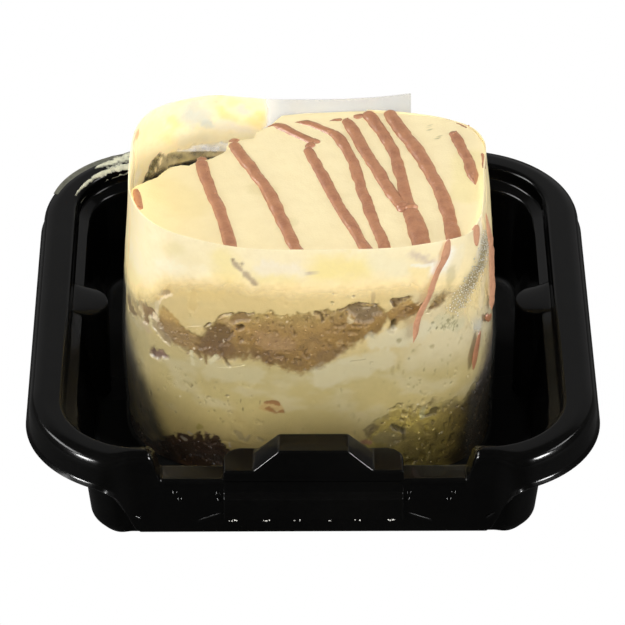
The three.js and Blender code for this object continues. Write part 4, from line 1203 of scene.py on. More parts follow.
# %% Paths of the stripes
stripes = [
    # half width at the start, along the run and at the end, places on the roof (x, y)
    (0.8, 1.1, 0.8, [(-43.7, 4.8), (-43.2, 2.2), (-42.6, -0.8), (-41.9, -3.8)]),
    (1.5, 1.65, 1.6, [(-27.5, 15.4), (-26.6, 9.2), (-24.6, 1.6), (-22.9, -3.8), (-21.2, -10.9),
                      (-20, -18), (-18.5, -27)]),
    (1.5, 1.7, 1.6, [(-19.6, 22.4), (-18.1, 17.9), (-15.4, 12.2), (-11.8, 4.7), (-9.3, -3.4),
                     (-6.9, -11.5), (-4.4, -19.7), (-2, -27.6)]),
    (0.3, 1.4, 1.3, [(-11, 28.3), (-9.6, 29.3), (-8.2, 28.8), (-5.4, 26.4), (-2.1, 23.4), (0.6, 21.4),
                     (1, 20.5)]),
    (1.5, 1.5, 1.3, [(0.8, 21), (-0.4, 19.6), (-1.2, 18.3)]),
    (1.5, 1.6, 1.6, [(-1.1, 19), (0.1, 14.5), (1.8, 10), (4.2, 2.6), (7.1, -6.4), (10.2, -14.6),
                     (13, -22.5), (15, -29.4)]),
    (0.4, 1.25, 1.4, [(-5.2, 29.8), (-2.8, 29.9), (0.2, 28.7), (3.2, 26.5), (5.8, 24.5)]),
    (1.4, 1.55, 1.6, [(4.7, 25.6), (7.1, 22.2), (8.8, 17.4), (10.4, 12), (11.6, 4.6), (13.9, -6.8),
                      (15.8, -14.9), (17.8, -23.4), (19.4, -29.3)]),
    (0.35, 0.6, 0.8, [(3.7, 28.8), (5.5, 30.1), (8, 30.4)]),
    (1.4, 1.65, 1.6, [(8.6, 30.6), (10.4, 25.6), (12.6, 18.6), (15, 12.1), (17.8, 4.2), (20.6, -3.2),
                      (23, -8.6)]),
    (1, 0.5, 0.6, [(10.7, 30.8), (11.3, 31.4), (13.6, 31.9)]),
    (1.7, 1.65, 1.6, [(13.8, 33.2), (15.6, 29.6), (18.2, 22.9), (20.3, 16.6), (21.4, 10.8), (22.2, 4.4),
                      (23.3, -2.4), (24.2, -9)]),
    (1.8, 2.4, 2.4, [(23.6, -7), (24.6, -10.6), (25.6, -15.8), (26.7, -22.8), (27.7, -29)]),
    (1.7, 1.85, 1.75, [(19.3, 33.2), (21.5, 27.5), (23.6, 22.6), (26, 17.1), (28.1, 11.2), (30.6, 2.9),
                       (32.3, -4.8), (33.6, -12.4), (34.3, -19.4), (34.6, -25)]),
    (1.3, 1.5, 0.35, [(35.2, 23.6), (36.6, 19.4), (37.8, 15), (38.9, 10.8), (39.8, 6), (40.4, 1)]),
    (0.5, 0.6, 0.5, [(42.3, 14.6), (42.7, 11), (42.5, 7.6)]),
    (0.4, 0.55, 0.4, [(35.8, 27), (37.4, 26.4), (39.2, 24.6)]),
]
knots = [
    # extra lumps: half width, short path (x, y), lift
    (1.5, [(-28.5, 15.4), (-27.5, 16.2), (-26.3, 15.2)], -0.5),
    (1.7, [(-20.5, 22.4), (-19.2, 23.3), (-17.6, 22.4)], -0.5),
    (1.1, [(-0.3, 22.1), (1.4, 21.6), (1.6, 20.2)], 0), (1.8, [(21.4, -4.4), (22.6, -7.6)], 0.15),
    (1.8, [(23.6, -5.6), (24.6, -8.6)], 0.2), (0.4, [(23.4, -10.1), (24.6, -9.5), (25.9, -9.8)], 1.05),
    (0.35, [(23.2, -12), (24.4, -11.5), (25.5, -11.8)], 1.05),
]


def smooth_path(places, step=0.45, rounds=12):
    """A rounder path through the places, with points about half a millimetre apart."""
    places = np.array(places, dtype=float)
    gone = np.concatenate([[0], np.cumsum(np.linalg.norm(np.diff(places, axis=0), axis=1))])
    even = np.linspace(0, gone[-1], max(4, int(gone[-1] / step)))
    path = np.stack([np.interp(even, gone, places[:, k]) for k in range(places.shape[1])], axis=-1)
    for _ in range(rounds):
        path[1:-1] = 0.25 * path[:-2] + 0.5 * path[1:-1] + 0.25 * path[2:]
    return path, even


# %% Lay the paths and grow the beads
BEAD_FLATNESS = 0.62
bead_points, bead_edges, bead_widths = [], [], []
runs = [(start, middle, end, places, 0.0) for start, middle, end, places in stripes]
runs += [(half, half, half, places, lift) for half, places, lift in knots]
for start, middle, end, places, lift in runs:
    path, gone = smooth_path(places, rounds=12 if len(places) > 3 else 2)
    wander = np.concatenate([path, np.zeros((len(path), 1))], axis=-1)
    path = path + 0.28 * np.stack([cloud(wander, 4, 61, 2), cloud(wander, 4, 62, 2)], axis=-1)
    left = gone[-1] - gone
    half_width = middle + (start - middle) * eased(4.5, 0, gone) + (end - middle) * eased(4.5, 0, left)
    nearest_end = np.minimum(gone, left)
    round_end = np.sqrt(np.clip(1 - (1 - np.clip(nearest_end / half_width, 0, 1)) ** 2, 0.02, 1))
    first = len(bead_points)
    z = top_face(path[:, 0], path[:, 1]) - 0.25 + lift
    bead_points += np.column_stack([path, z]).tolist()
    bead_edges += [[first + k, first + k + 1] for k in range(len(path) - 1)]
    bead_widths += (half_width * round_end * 0.001).tolist()
bead_mesh = bpy.data.meshes.new("bead_paths")
bead_mesh.from_pydata(in_metres(bead_points).tolist(), bead_edges, [])
bead_base = bpy.data.objects.new("bead_paths", bead_mesh)
set_value(bead_base, "half_width", bead_widths)
bpy.context.scene.collection.objects.link(bead_base)
drizzle = grown("caramel_drizzle", bead_base, bead_tree,
                {"Height Share": BEAD_FLATNESS, "Lumps": 0.5, "Ripple": 0.0003, "Finish": drizzle_finish})
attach(drizzle, "root")

# %% [markdown]
# ## The film collar
# A strip of clear film stands round the cake, eight millimetres higher than the cream at the
# front. Its loose end overlaps the other and springs away at the back. Where cream touched it,
# it is smeared: opaque at the front edge, patchy at the back left, and clear on the loose end.
# The smears are masks kept on the mesh, and the shader turns them into colour and opacity.

# %% Shape of the strip
FREE_ANGLE, INNER_ANGLE = 69.5, 444.0
FILM_BOTTOM, FILM_TOP, FILM_THICKNESS = 1.1, 70.5, 0.3


def film_stand(angle):
    """How far it stands off the cake: where it overlaps, at the tail and at both back corners."""
    overlap = 0.6 * eased(128, 96, angle)
    tail = 5.0 * np.clip((89 - angle) / (89 - FREE_ANGLE), 0, 1) ** 1.6
    broken_corner = 3.6 * eased(92, 112, angle) * eased(176, 128, angle)
    return 0.5 + overlap + tail + broken_corner + 0.6 * eased(354, 374, angle) * eased(414, 388, angle)


def film_top(angle):
    """Its upper edge runs level round the front and a little lower at the right."""
    raised = 0.9 * eased(178, 200, angle) * eased(262, 235, angle)
    return FILM_TOP + raised - 2.8 * eased(296, 350, angle)


def film_point(angle, z, extra=FILM_THICKNESS):
    """A point of the strip's outer side."""
    inside_turn = outline(angle, z, film_stand(angle) + extra, FILM_CORNERS)
    second_turn = outline(angle, z, film_stand(angle) + extra, CAKE_CORNERS)
    return np.where((np.asarray(angle) < 360)[..., None], inside_turn, second_turn)


LEVEL = 50.0  # rows are level up to here, and above it they follow the upper edge
film_heights = np.concatenate([np.linspace(FILM_BOTTOM, LEVEL, 40, endpoint=False),
                               np.linspace(LEVEL, FILM_TOP, 44)])
film_angles = np.concatenate([np.linspace(FREE_ANGLE, 190, 150, endpoint=False),
                              np.linspace(190, 350, 330, endpoint=False),
                              np.linspace(350, INNER_ANGLE, 90)])
angle_grid, height_grid = np.meshgrid(film_angles, film_heights)
climb = (film_top(angle_grid) - LEVEL) / (FILM_TOP - LEVEL)
height_grid = np.where(height_grid > LEVEL, LEVEL + (height_grid - LEVEL) * climb, height_grid)
film_rows = film_point(angle_grid, height_grid)
film_rows += 0.12 * directions(film_rows, False) * cloud(film_rows * [1, 1, 0.35], 12, 71, 2)[..., None]
print("film strip", film_rows.shape)

# %% [markdown]
# ## Smears on the film
# CONTACT is the height from which cream touches the film along the front, and everything above it
# is smeared. BACK_EDGE is the same for the back. At the sides, limits in angle and height do.
# Inside the smears, marks like those on the wall change the colour. On the front right corner a
# mark's place is counted in millimetres round it, six tenths of one to each degree.

# %% Places of the smears
MM_PER_DEGREE = 0.6
CONTACT = np.array([
    (-50, 47), (-44, 47), (-40, 50), (-37.5, 54.5), (-34.7, 57.5), (-27.7, 60), (-21.4, 61.4),
    (-13.4, 60.6), (-3.7, 60.4), (5.7, 60.4), (18.6, 60.4), (24, 61), (29, 59), (36, 57), (46, 55),
])
front_smears = [
    # colour, half thickness, strength, places (x, z)
    ("fdf3d0", 4.5, 0.8, [(-42, 58), (-37, 64)]), ("fff7da", 2.2, 0.6, [(-36, 60.5), (-27, 62.5)]),
    ("efe2ac", 1.8, 0.6, [(-35, 66.5), (-33, 67.5)]), ("f6e6a6", 3, 0.75, [(-21.5, 67), (-20, 63)]),
    ("f8e79b", 3.2, 0.8, [(2.5, 65), (11, 65.4)]), ("f6e8a8", 2.4, 0.6, [(-12, 63), (-6, 63)]),
    ("f6ecc8", 3.2, 0.8, [(16, 67.5), (22, 63.5)]), ("f8ebc6", 1.6, 0.7, [(-15, 69), (-4, 67.5)]),
    ("f8eed8", 1.8, 0.8, [(-12, 65.2), (-4, 65)]),
    ("c9b5a8", 1.2, 0.7, [(24.2, 68), (26.7, 66.6), (28.6, 64.8)]),
    ("f7e7b0", 1.8, 0.9, [(25, 63.6), (28, 62.8)]),
    ("fffdf4", 0.4, 0.7, [(23.8, 65.2), (28.6, 64.4), (29.2, 62.2)]),
    ("a89484", 0.55, 0.8, [(-18.9, 66.2), (-16.4, 63.6), (-13.8, 60.8)]),
    ("7c6458", 0.4, 0.8, [(-19.2, 67.2)]), ("8b7466", 0.4, 0.8, [(-16.9, 66.2)]),
    ("b6a5a0", 0.35, 0.7, [(-0.6, 64.2)]), ("fffef8", 2, 0.8, [(33.5, 66), (30.5, 63)]),
]
back_smears = [
    ("f6e8a4", 1.3, 0.85, [(-23, 66.8), (-22, 64.6)]), ("f5e8b4", 1.3, 0.8, [(-20.4, 68.6), (-18, 68.7)]),
    ("f0e6c8", 1.2, 0.8, [(-15.8, 69), (-14, 68.6)]), ("f6e090", 1, 0.85, [(-12.9, 66), (-12.5, 64.2)]),
    ("f3e4a2", 1.2, 0.8, [(-15.4, 64), (-13.8, 63)]), ("efe3ac", 1, 0.8, [(-21, 64.4), (-19, 63.4)]),
    ("ebe4d8", 1.3, 0.9, [(-17.9, 66.8), (-16.6, 66)]),
    ("e9e5d6", 1.8, 0.85, [(-24.4, 60.4), (-20.6, 60.8)]),
    ("e8e3d8", 1.6, 0.85, [(-18.4, 60.4), (-15.6, 60)]),
    ("f0eac8", 1.3, 0.8, [(-27.6, 58.9), (-25, 58.7)]),
    ("f8e6a2", 1.5, 0.8, [(-35.2, 65.4), (-34.2, 63.4)]),
    ("faf0be", 2.4, 0.7, [(-41.4, 66), (-39.4, 64.4)]),
    ("fbeeb2", 1.8, 0.7, [(-37.4, 60.8), (-35.4, 59.8)]),
    ("faf6dc", 2, 0.7, [(-33, 60.4), (-30.8, 59.4)]), ("dde0d6", 3, 0.95, [(-30.8, 66.2), (-27.8, 63.8)]),
    ("ced4cf", 1.2, 0.7, [(-27.2, 61.9), (-25.8, 61.4)]), ("e6e8da", 1.4, 0.8, [(-30.4, 69), (-27, 69)]),
    ("ece6ca", 1.8, 0.8, [(-32.6, 57.4), (-22, 57.6), (-15, 58.2)]),
    ("e9c79c", 0.8, 0.95, [(-24.2, 68.6)]), ("d08a5c", 0.5, 0.9, [(-44.1, 68.9), (-43.8, 67.4)]),
    ("dcdac8", 0.5, 0.9, [(-25.5, 55.2), (-21.5, 56)]), ("a19c88", 1, 0.8, [(-30, 53.2), (-22.5, 54)]),
    ("bbb594", 0.8, 0.8, [(-34.4, 53.4), (-32.4, 52.6)]),
    ("9c9468", 0.9, 0.8, [(-39.4, 54), (-41.6, 50.8)]),
]
DRIFT = [(204, 61.6), (201, 59.6), (197.2, 57.8), (193.4, 55.8), (190.2, 53.6), (187.6, 51.6)]
corner_streaks = [
    # colour, half thickness, strength, places (millimetres round the corner, z)
    ("fff7e4", 1.3, 0.95, [(206.5, 68), (203, 64.5), (198, 60.8)]),
    ("f3e6bc", 0.9, 0.9, [(205, 60), (204.6, 54), (204, 47)]),
    ("a3965e", 0.3, 0.6, [(207.6, 62), (207.4, 58), (207.2, 50)]),
    ("efe6cc", 1.8, 0.7, [(200, 53), (198, 47)]), ("e4dab6", 2, 0.6, [(193, 47), (196, 41)]),
    ("f6eccb", 2.2, 0.8, [(189, 66), (187, 62)]), ("a89b74", 3.2, 0.75, DRIFT),
    ("7d7150", 1.7, 0.7, [(203.5, 60.8), (197.6, 57.8), (191, 54)]),
    ("b9ad80", 1.6, 0.5, [(186, 61), (184.4, 56.5)]),
]


def of_depth(depth, marks):
    """Marks as lay_marks wants them, all of one depth."""
    return [(colour, radius, depth, strength, line) for colour, radius, strength, line in marks]


BACK_EDGE = np.array([
    (-46, 47), (-42.5, 50.4), (-41, 53.5), (-38.6, 55.6), (-37, 54), (-34, 54.8), (-31, 55), (-22, 55.4),
    (-9, 57),
])
SMEAR_BY_HEIGHT = [(50, "f5e4ac"), (62, "fbecbe"), (71, "fcf0ca")]
SIDE_SMEAR_BY_HEIGHT = [(40, "a39258"), (48, "d6c28a"), (56, "f0e0ae"), (64, "f8ebc0"), (71, "fbf0cc")]


# %% Paint the film
def wisp(x, z, low, left, right):
    """A thin patch that starts at a height and fades out at both sides."""
    return eased(low, low + 1, z) * eased(*left, x) * eased(*right, x)


def paint_film(rows, turn):
    """Opacity and colour of the smears over the strip."""
    x, _y, z = np.moveaxis(rows, -1, 0)
    wobble, fine_wobble = cloud(rows, 5, 73, 3), cloud(rows, 1.2, 74, 2)
    frontal = eased(180, 196, turn) * eased(352, 338, turn)
    proud = eased(-5.0, 3.4, z - np.interp(x, *CONTACT.T) + 1.6 * wobble + 0.8 * fine_wobble)
    left = eased(150, 165, turn) * eased(206, 190, turn) * eased(42, 52, z + 3 * wobble)
    back = eased(94.6, 96.4, turn + 1.2 * wobble) * eased(168, 150, turn)
    lower_edge = np.interp(x, *BACK_EDGE.T)
    smeared = eased(-0.5, 0.8, z - lower_edge + 0.9 * wobble + 1.3 * fine_wobble)
    wisps = np.maximum.reduce([0.6 * wisp(x, z, 50.5, (-37.4, -36.0), (-28.8, -30)),
                               0.55 * wisp(x, z, 50.8, (-31, -29.5), (-20, -22)),
                               0.4 * wisp(x, z, 49.5, (-43, -41), (-35.6, -36.8))])
    strands = eased(0.05, 0.5, cloud(rows * [1, 1, 0.6], 1.1, 77, 3)) * eased(-36.5, -38, x)
    strands = strands * eased(48.5, 50.5, z + 0.25 * (x + 41))
    wisps = np.maximum(wisps * (0.8 + 0.5 * fine_wobble), 0.85 * strands)
    cover = np.maximum.reduce([frontal * proud * 0.985, left * 0.97, back * smeared * 0.93, back * wisps])

    def hole(across, up, half_width, half_height):
        away = np.hypot((x - across) / half_width, (z - up) / half_height)
        return 1 - eased(0.5, 1.3, away + 0.5 * wobble + 0.3 * fine_wobble)

    thin = np.maximum.reduce([0.25 * hole(-28.5, 65, 4.4, 4.4), 0.12 * hole(-17.2, 66.8, 1.7, 1.6),
                              0.1 * hole(-17, 59.5, 4, 2)])
    cover = cover * (1 - thin * back)
    right = eased(336, 350, turn) * eased(412, 400, turn) * eased(40, 46, z + 3 * wobble)
    above_back = eased(404, 412, turn) * eased(68.4, 67.6, z + 0.5 * wobble) * eased(63, 64, z)
    corner = eased(314, 328, turn) * eased(356, 342, turn) * eased(40, 52, z + 3 * wobble)
    corner = corner * (0.5 + 0.3 * cloud(rows * [1, 1, 0.12], 1.6, 75, 2))
    cover = np.maximum.reduce([cover, right * 0.93, 0.85 * above_back, corner])
    colours = stir(by_height(z, SMEAR_BY_HEIGHT), eased(330, 348, turn), by_height(z, SIDE_SMEAR_BY_HEIGHT))
    colours = colours * (1 + 0.03 * wobble)[..., None]
    behind = eased(180, 160, turn)
    colours = stir(colours, 0.3 * behind, tone("fffbe6"))
    colours = stir(colours, 0.7 * behind * eased(0.0, 0.6, cloud(rows, 4.5, 76, 3)), tone("efeddd"))
    colours = stir(colours, 0.45 * behind * eased(0.15, 0.5, cloud(rows, 3.2, 78, 4)), tone("f6e8a2"))
    for part, smears in (((turn > 195) & (turn < 350), front_smears), (turn < 165, back_smears)):
        colours[part], _depth = lay_marks(rows[part], x[part], colours[part], 0 * x[part],
                                          of_depth(0.0, smears), 0.9, 0.6)
    part = (turn > 305) & (turn < 362)
    colours[part], marked = lay_marks(rows[part], turn[part] * MM_PER_DEGREE, colours[part], 0 * x[part],
                                      of_depth(1.0, corner_streaks), 0.7, 0.5)
    cover[part] = np.maximum(cover[part], 0.8 * marked)
    near_cream = eased(92, 96, turn) * eased(-9, -3, z - np.where(turn < 160, lower_edge, 50))
    clear_grey = np.broadcast_to(tone("c3c5c0"), colours.shape)
    return np.clip(cover, 0, 1), np.clip(stir(clear_grey, near_cream, colours), 0, 1)


cover, film_tints = paint_film(film_rows, angle_grid)
haze = 0.008 + 0.05 * eased(118, 96, angle_grid) + 0.3 * eased(99, 90, angle_grid)
haze = haze + 0.14 * eased(368, 380, angle_grid) * eased(58, 66, height_grid)
# painted light: how strongly the smears glow, most at the back and the left
lit_at_back = (0.16 + 0.14 * eased(116, 134, angle_grid)) * eased(186, 168, angle_grid)
lit_at_left = 0.24 * eased(165, 185, angle_grid) * eased(244, 205, angle_grid)
lit_through = np.maximum(lit_at_back + lit_at_left, 0.05)
print("smeared share of the strip", round(float((cover > 0.5).mean()), 3))

# %% [markdown]
# The film itself is a glossy sheet that hardly shows where one looks straight through it and
# turns brighter towards its edges. Real glass would need refraction and many light bounces. A
# mix of transparency and gloss looks the same on film this thin. The opacity is the smear mask,
# or the haze where there is no smear, raised by Fresnel towards grazing angles. Rays that look for
# a lamp pass the film almost freely, or it would darken the cake. Smears also glow a little in
# their own colour, most at the back and the left: painted light, an emission that stands in for
# the light that falls through thin cream.

# %% The film finish
film_finish, tree, shader = new_material("clear_film")
smear_mask = kept(tree, "cover")
grade = mottled(tree, shader, kept(tree, "tint", "Color"), "f2dfae", 0.3, 190.0, 1100.0)
fresnel = node(tree, "ShaderNodeLayerWeight", {"Blend": 0.16}).outputs["Fresnel"]
hazy = maths(tree, "ADD", kept(tree, "haze"), maths(tree, "MULTIPLY", grade["Mask"], 0.012))
clear_part = maths(tree, "ADD", hazy, maths(tree, "MULTIPLY", fresnel, 0.06))
smear_part = maths(tree, "SUBTRACT", smear_mask, maths(tree, "MULTIPLY", grade["Mask"], 0.06))
opacity = maths(tree, "MAXIMUM", clear_part, smear_part, clamp=True)
for_shadows = node(tree, "ShaderNodeLightPath").outputs["Is Shadow Ray"]
opacity = maths(tree, "MULTIPLY", opacity, between(tree, for_shadows, 1.0, 0.15))
glow = maths(tree, "MULTIPLY", kept(tree, "lit_through"), smear_mask)
fill_in(tree, shader, {"Alpha": opacity, "Roughness": between(tree, smear_mask, 0.06, 0.42),
                       "Normal": bump(tree, grade["Height"], 0.15, 0.0003),
                       "IOR": 1.5, "Specular IOR Level": 0.25, "Emission Strength": 1.0,
                       "Emission Color": blend_colours(tree, glow, (0, 0, 0, 1), grade["Colour"])})


# %% [markdown]
# The masks were made for the outer side of the strip. Its inner side lies right behind, so the
# same values serve it, in the reversed order in which closed_strip lays its rows.

# %% The finished strip
def both_sides(values):
    return np.concatenate([values, values[::-1]])


points, faces = closed_strip(film_rows, FILM_THICKNESS)
film = make_piece("film_strip", points, faces, film_finish, crease=60)
set_tint(film, both_sides(film_tints).reshape(-1, 3))
for name, values in (("cover", cover), ("haze", haze), ("lit_through", lit_through)):
    set_value(film, name, both_sides(values))
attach(film, "root")
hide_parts("film_collar")

# %% [markdown]
# ## Runs and streaks on the film
# One stripe ran over the edge of the film and down its front, and two more mark the right side.
# They are thin ribbons that lie on the strip. Each is built from its path in angle and height,
# with a rounded section that is thickest in the middle.

# %% Ribbons that follow the film
RIBBON_STAND = 0.16


def ribbon(name, thickness, material, seed, places):
    """Each place is an angle, a height and a half width. Makes the finished piece and attaches it to the
    root.
    """
    fine_path, _gone = smooth_path(places, 0.5)
    angle, z, width = fine_path.T
    middle = film_point(angle, z)
    outward = film_point(angle, z, 1.3) - middle
    outward /= np.linalg.norm(outward, axis=-1, keepdims=True)
    along = np.gradient(middle, axis=0)
    along /= np.linalg.norm(along, axis=-1, keepdims=True)
    aside = np.cross(outward, along)
    share = np.arange(len(z)) / (len(z) - 1)
    taper = np.sqrt(np.clip(1 - np.abs(2 * share - 1) ** 6, 0.03, 1))
    width = width * taper * (1 + 0.35 * cloud(middle, 1.8, seed, 2))
    middle = middle + aside * 0.25 * cloud(middle, 3.0, seed + 1, 2)[:, None]
    lines = []
    for t in np.linspace(-1, 1, 9):
        lift = RIBBON_STAND + thickness * taper * np.sqrt(1 - t * t)
        lines.append(middle + aside * (width * t)[:, None] + outward * lift[:, None])
    for t in np.linspace(0.8, -0.8, 5):
        lines.append(middle + aside * (width * t)[:, None] + outward * (RIBBON_STAND - 0.02))
    rows = np.swapaxes(np.array(lines), 0, 1)
    points, faces = closed_rows(rows, rows[0].mean(axis=0), rows[-1].mean(axis=0))
    faces = [face[::-1] for face in faces]
    piece = make_piece(name, points, faces, material, crease=80)
    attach(piece, "root")


thin_caramel, tree, shader = new_material("thin_caramel")
grade = mottled(tree, shader, "e6ae8a", "c88a66", 0.6, 420.0, 1700.0)
fill_in(tree, shader, {"Roughness": between(tree, grade["Mask"], 0.3, 0.5),
                       "Alpha": between(tree, grade["Mask"], 0.95, 0.8)})

# each place: angle, height, half width
ribbon("caramel_run", 0.22, thin_caramel, 81, [
    (307.8, 70.6, 2.1), (307.2, 68.2, 1.8), (306.4, 66.1, 1.45), (304.3, 64.1, 1.2),
    (302, 62.2, 0.95), (300.5, 60.1, 0.85), (299, 58, 0.9), (298, 55.8, 0.95), (296, 53.8, 0.85),
    (294.1, 51.7, 0.95), (292.9, 49.5, 0.95), (292.2, 47.2, 0.85), (291.5, 44.5, 0.7), (291, 43, 0.4),
])
ribbon("caramel_streak_high", 0.3, thin_caramel, 83, [
    (352, 65.4, 0.9), (349.6, 63.4, 1.6), (347.2, 60.7, 1.9), (346.4, 58.5, 2), (346.8, 56.2, 2.2),
    (346.4, 54, 2.3), (346, 51.8, 2.3), (345.2, 49.8, 2.2), (344.4, 47.6, 2.2), (344.2, 45.3, 2.2),
    (343.2, 43.3, 2), (341.6, 41.5, 1.5),
])
ribbon("caramel_streak_low", 0.2, drizzle_finish, 85, [
    (327.4, 39.8, 0.7), (324.6, 37, 0.9), (322.6, 34.4, 1), (321.6, 31.8, 0.9), (320.6, 29.6, 0.6),
])
ribbon("caramel_blob", 0.4, drizzle_finish, 87, [
    (333.5, 42.6, 0.9), (336.5, 40.4, 1.2), (340, 40, 1),
])
ribbon("caramel_touch", 0.2, thin_caramel, 89, [
    (332.8, 69.2, 1.6), (332.2, 67.4, 2), (331.2, 65.4, 1.6), (330.4, 63.8, 0.7),
])

# %% [markdown]
# ## Mist on the film
# Cold cake makes its film sweat. A diagonal drift of fine drops hangs on the right of the front,
# most of them a fifth of a millimetre across. The lump tree strews them over a patch of the
# film's own surface, thickly where the amount is high.

# %% Drops on the strip
drop_finish, tree, shader = new_material("mist_drops")
facing = node(tree, "ShaderNodeLayerWeight", {"Blend": 0.5}).outputs["Facing"]
grade = mottled(tree, shader, "fffdf2", "e0d8c0", 0.5, 500.0, 2500.0)
# painted shade: each drop is painted dark where it is seen at a slant, standing in for the dark rim of a
# clear drop
fill_in(tree, shader, {"Base Color": blend_colours(tree, facing, grade["Colour"], "4c4230"),
                       "Alpha": between(tree, facing, 0.95, 0.9),
                       "Roughness": between(tree, grade["Mask"], 0.05, 0.15), "IOR": 1.33})

mist_angle, mist_z = np.meshgrid(np.linspace(304, 344, 100), np.linspace(44, 69, 80))
mist_surface = film_point(mist_angle, mist_z, 0.44)
drift = away_from(mist_angle * MM_PER_DEGREE, mist_z, DRIFT)
thickness = (1 - eased(2.4, 4.4, drift + 0.9 * cloud(mist_surface, 2.5, 91, 2))) * 0.95
mist_faces = squares(*mist_angle.shape, round_columns=False)
mist = strew("mist_on_film", mist_surface.reshape(-1, 3), mist_faces, thickness.ravel(), drop_finish, 5,
             per_area=5e6, spacing=0.00052, smallest=0.00014, largest=0.00027, flatness=0.5, roughness=0.1)
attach(mist, "root")

# %% [markdown]
# ## Bubbles in the caramel
# Small blisters and glints sit along the beads. They are the same lump tree again, on strips that
# lie on the ridge of each stripe, in the caramel's own finish.

# %% Blisters along the stripes
blister_points, blister_faces = [], []
for _start, half_width, _end, places in stripes:
    path, _gone = smooth_path(places, 1.2)
    ahead = np.gradient(path, axis=0)
    sideways = np.stack([-ahead[:, 1], ahead[:, 0]], axis=-1)
    sideways = sideways / np.linalg.norm(ahead, axis=-1, keepdims=True)
    right, left = path - 0.8 * sideways, path + 0.8 * sideways
    for k in range(len(path) - 1):
        corners = [right[k], left[k], left[k + 1], right[k + 1]]
        blister_faces.append([len(blister_points) + i for i in (3, 2, 1, 0)])
        blister_points += [[x, y, top_face(x, y) + 0.5 * half_width * BEAD_FLATNESS + 0.12]
                           for x, y in corners]
blister_amount = eased(0.0, 0.5, cloud(np.array(blister_points), 4, 95, 2))
blisters = strew("caramel_blisters", blister_points, blister_faces, blister_amount, drizzle_finish, 7,
                 per_area=1.2e6, spacing=0.0006, smallest=0.00012, largest=0.0003, flatness=0.7)
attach(blisters, "root")

# %% [markdown]
# ## Loose crumb
# Torn sponge sheds crumbs that cling between cake and film. The lump tree strews them over the
# carved wall, in the brown band and in the soaked base.

# %% Crumbs on the band and on the base
def crumbs(name, low_face, high_face, rows, choose, slot, seed, **sizes):
    wall, _colours, _crumb = pressed_wall(low_face, high_face, rows)
    amount = choose(wall) * eased(4, -4, wall[..., 1] - 10)
    piece = strew(name, wall.reshape(-1, 3), squares(*wall.shape[:2]), amount.ravel(), cake_finish, seed,
                  flatness=0.8, roughness=0.9, **sizes)
    ready = np.array([v.co for v in piece.data.vertices])
    tints, _depth, crumb = paint_wall((ready - [0, slide_y, 0]) * 1000)
    set_tint(piece, np.clip(tints, 0, 1))
    set_value(piece, "crumb", crumb)
    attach(piece, "root")


def in_the_band(wall):
    band_top, band_low, _base = edge_heights(wall)
    return eased(-0.4, -1.5, wall[..., 2] - band_top) * eased(0.4, 1.5, wall[..., 2] - band_low)


def in_the_base(wall):
    return eased(0.5, -1.0, wall[..., 2] - edge_heights(wall)[2])


crumbs("band_crumbs", sponge_floor, sponge_top, 24, in_the_band, "sponge", 11,
       per_area=1.8e5, spacing=0.0012, smallest=0.0002, largest=0.00045)
crumbs("base_crumbs", floor_face, base_top, 20, in_the_base, "soaked_sponge", 13,
       per_area=1.6e5, spacing=0.0014, smallest=0.0002, largest=0.0005)

# %% [markdown]
# ## The smear on the tray's rim
# As the cake went in, cream wiped off on the back left corner of the rim. It is a thin, feathery
# film of cream. A height field works well: a small grid over the rim that rises above the
# plastic only where a stretched cloud is high, and dips below it everywhere else.

# %% Wiped cream
smear_finish = cake_material("wiped_cream", "8f9080", 0.5, 500.0, (0.3, 0.45), 0.8)
CORNER_MIDDLE = 41.4
way_round, reach = np.meshgrid(np.linspace(14, 90, 282), np.linspace(18.9, 26.2, 64))
smear_x = -CORNER_MIDDLE - reach * np.cos(np.radians(way_round))
smear_y = CORNER_MIDDLE + reach * np.sin(np.radians(way_round))
plastic_z = np.interp(reach, [18.9, 19.3, 19.8, 20.4], [31.2, 32.4, 32.9, RIM_Z])
flat_place = np.stack([smear_x, smear_y, 0 * smear_x], axis=-1)
wavy = cloud(flat_place, 5.0, 101, 3)
edge_streak = 1 - np.abs(reach - 20.1 - 0.4 * wavy) / (0.35 + 1.3 * eased(22, 70, way_round))
upper_streak = 1 - np.abs(reach - 22.9 - 0.6 * wavy) / (0.3 + 2.6 * eased(46, 78, way_round))
upper_streak = upper_streak - 1.5 * eased(52, 42, way_round)
ragged = 0.9 * cloud(flat_place, 2.0, 102, 4) + 0.4 * cloud(flat_place, 0.7, 104, 2)
fading = 0.15 + 2 * eased(82, 89, way_round)
cream_height = np.clip(np.maximum(edge_streak, 0.95 * upper_streak) + ragged - fading, -0.6, 0.8)
smear_rows = np.stack([smear_x, smear_y, plastic_z + cream_height * 0.55 - 0.04], axis=-1)
points, faces = closed_strip(smear_rows[::-1], 0.05)
wiped = make_piece("wiped_cream", points, faces, smear_finish, crease=80)
thick = both_sides(cream_height[::-1]).ravel()
smear_tint = stir(np.tile(tone("5c5c50"), (len(points), 1)), eased(0.0, 0.55, thick), tone("ecebd0"))
set_tint(wiped, np.clip(smear_tint * (1 + 0.12 * cloud(points, 2, 103, 2))[:, None], 0, 1))
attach(wiped, "root")

for piece in (tray, latch, stubs, *trims):
    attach(piece, "root")
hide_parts("tray")

# %% [markdown]
# ## Floor, sky and lamps
# The floor is plain and pale. Seen directly it is clean white, and for reflections and bounced
# light it is an ordinary matt surface, so that the glossy tray doesn't mirror a glaring sheet.
# Five broad lamps light the cake from above and from all sides, and stay out of reflections.
# Black plastic shows nothing but reflections, so it gets five lamps of its own: a wide dim one
# behind, one at each side and a small bright one at each front corner. They light gloss only, so
# they draw the tray's edges and leave the cream alone.

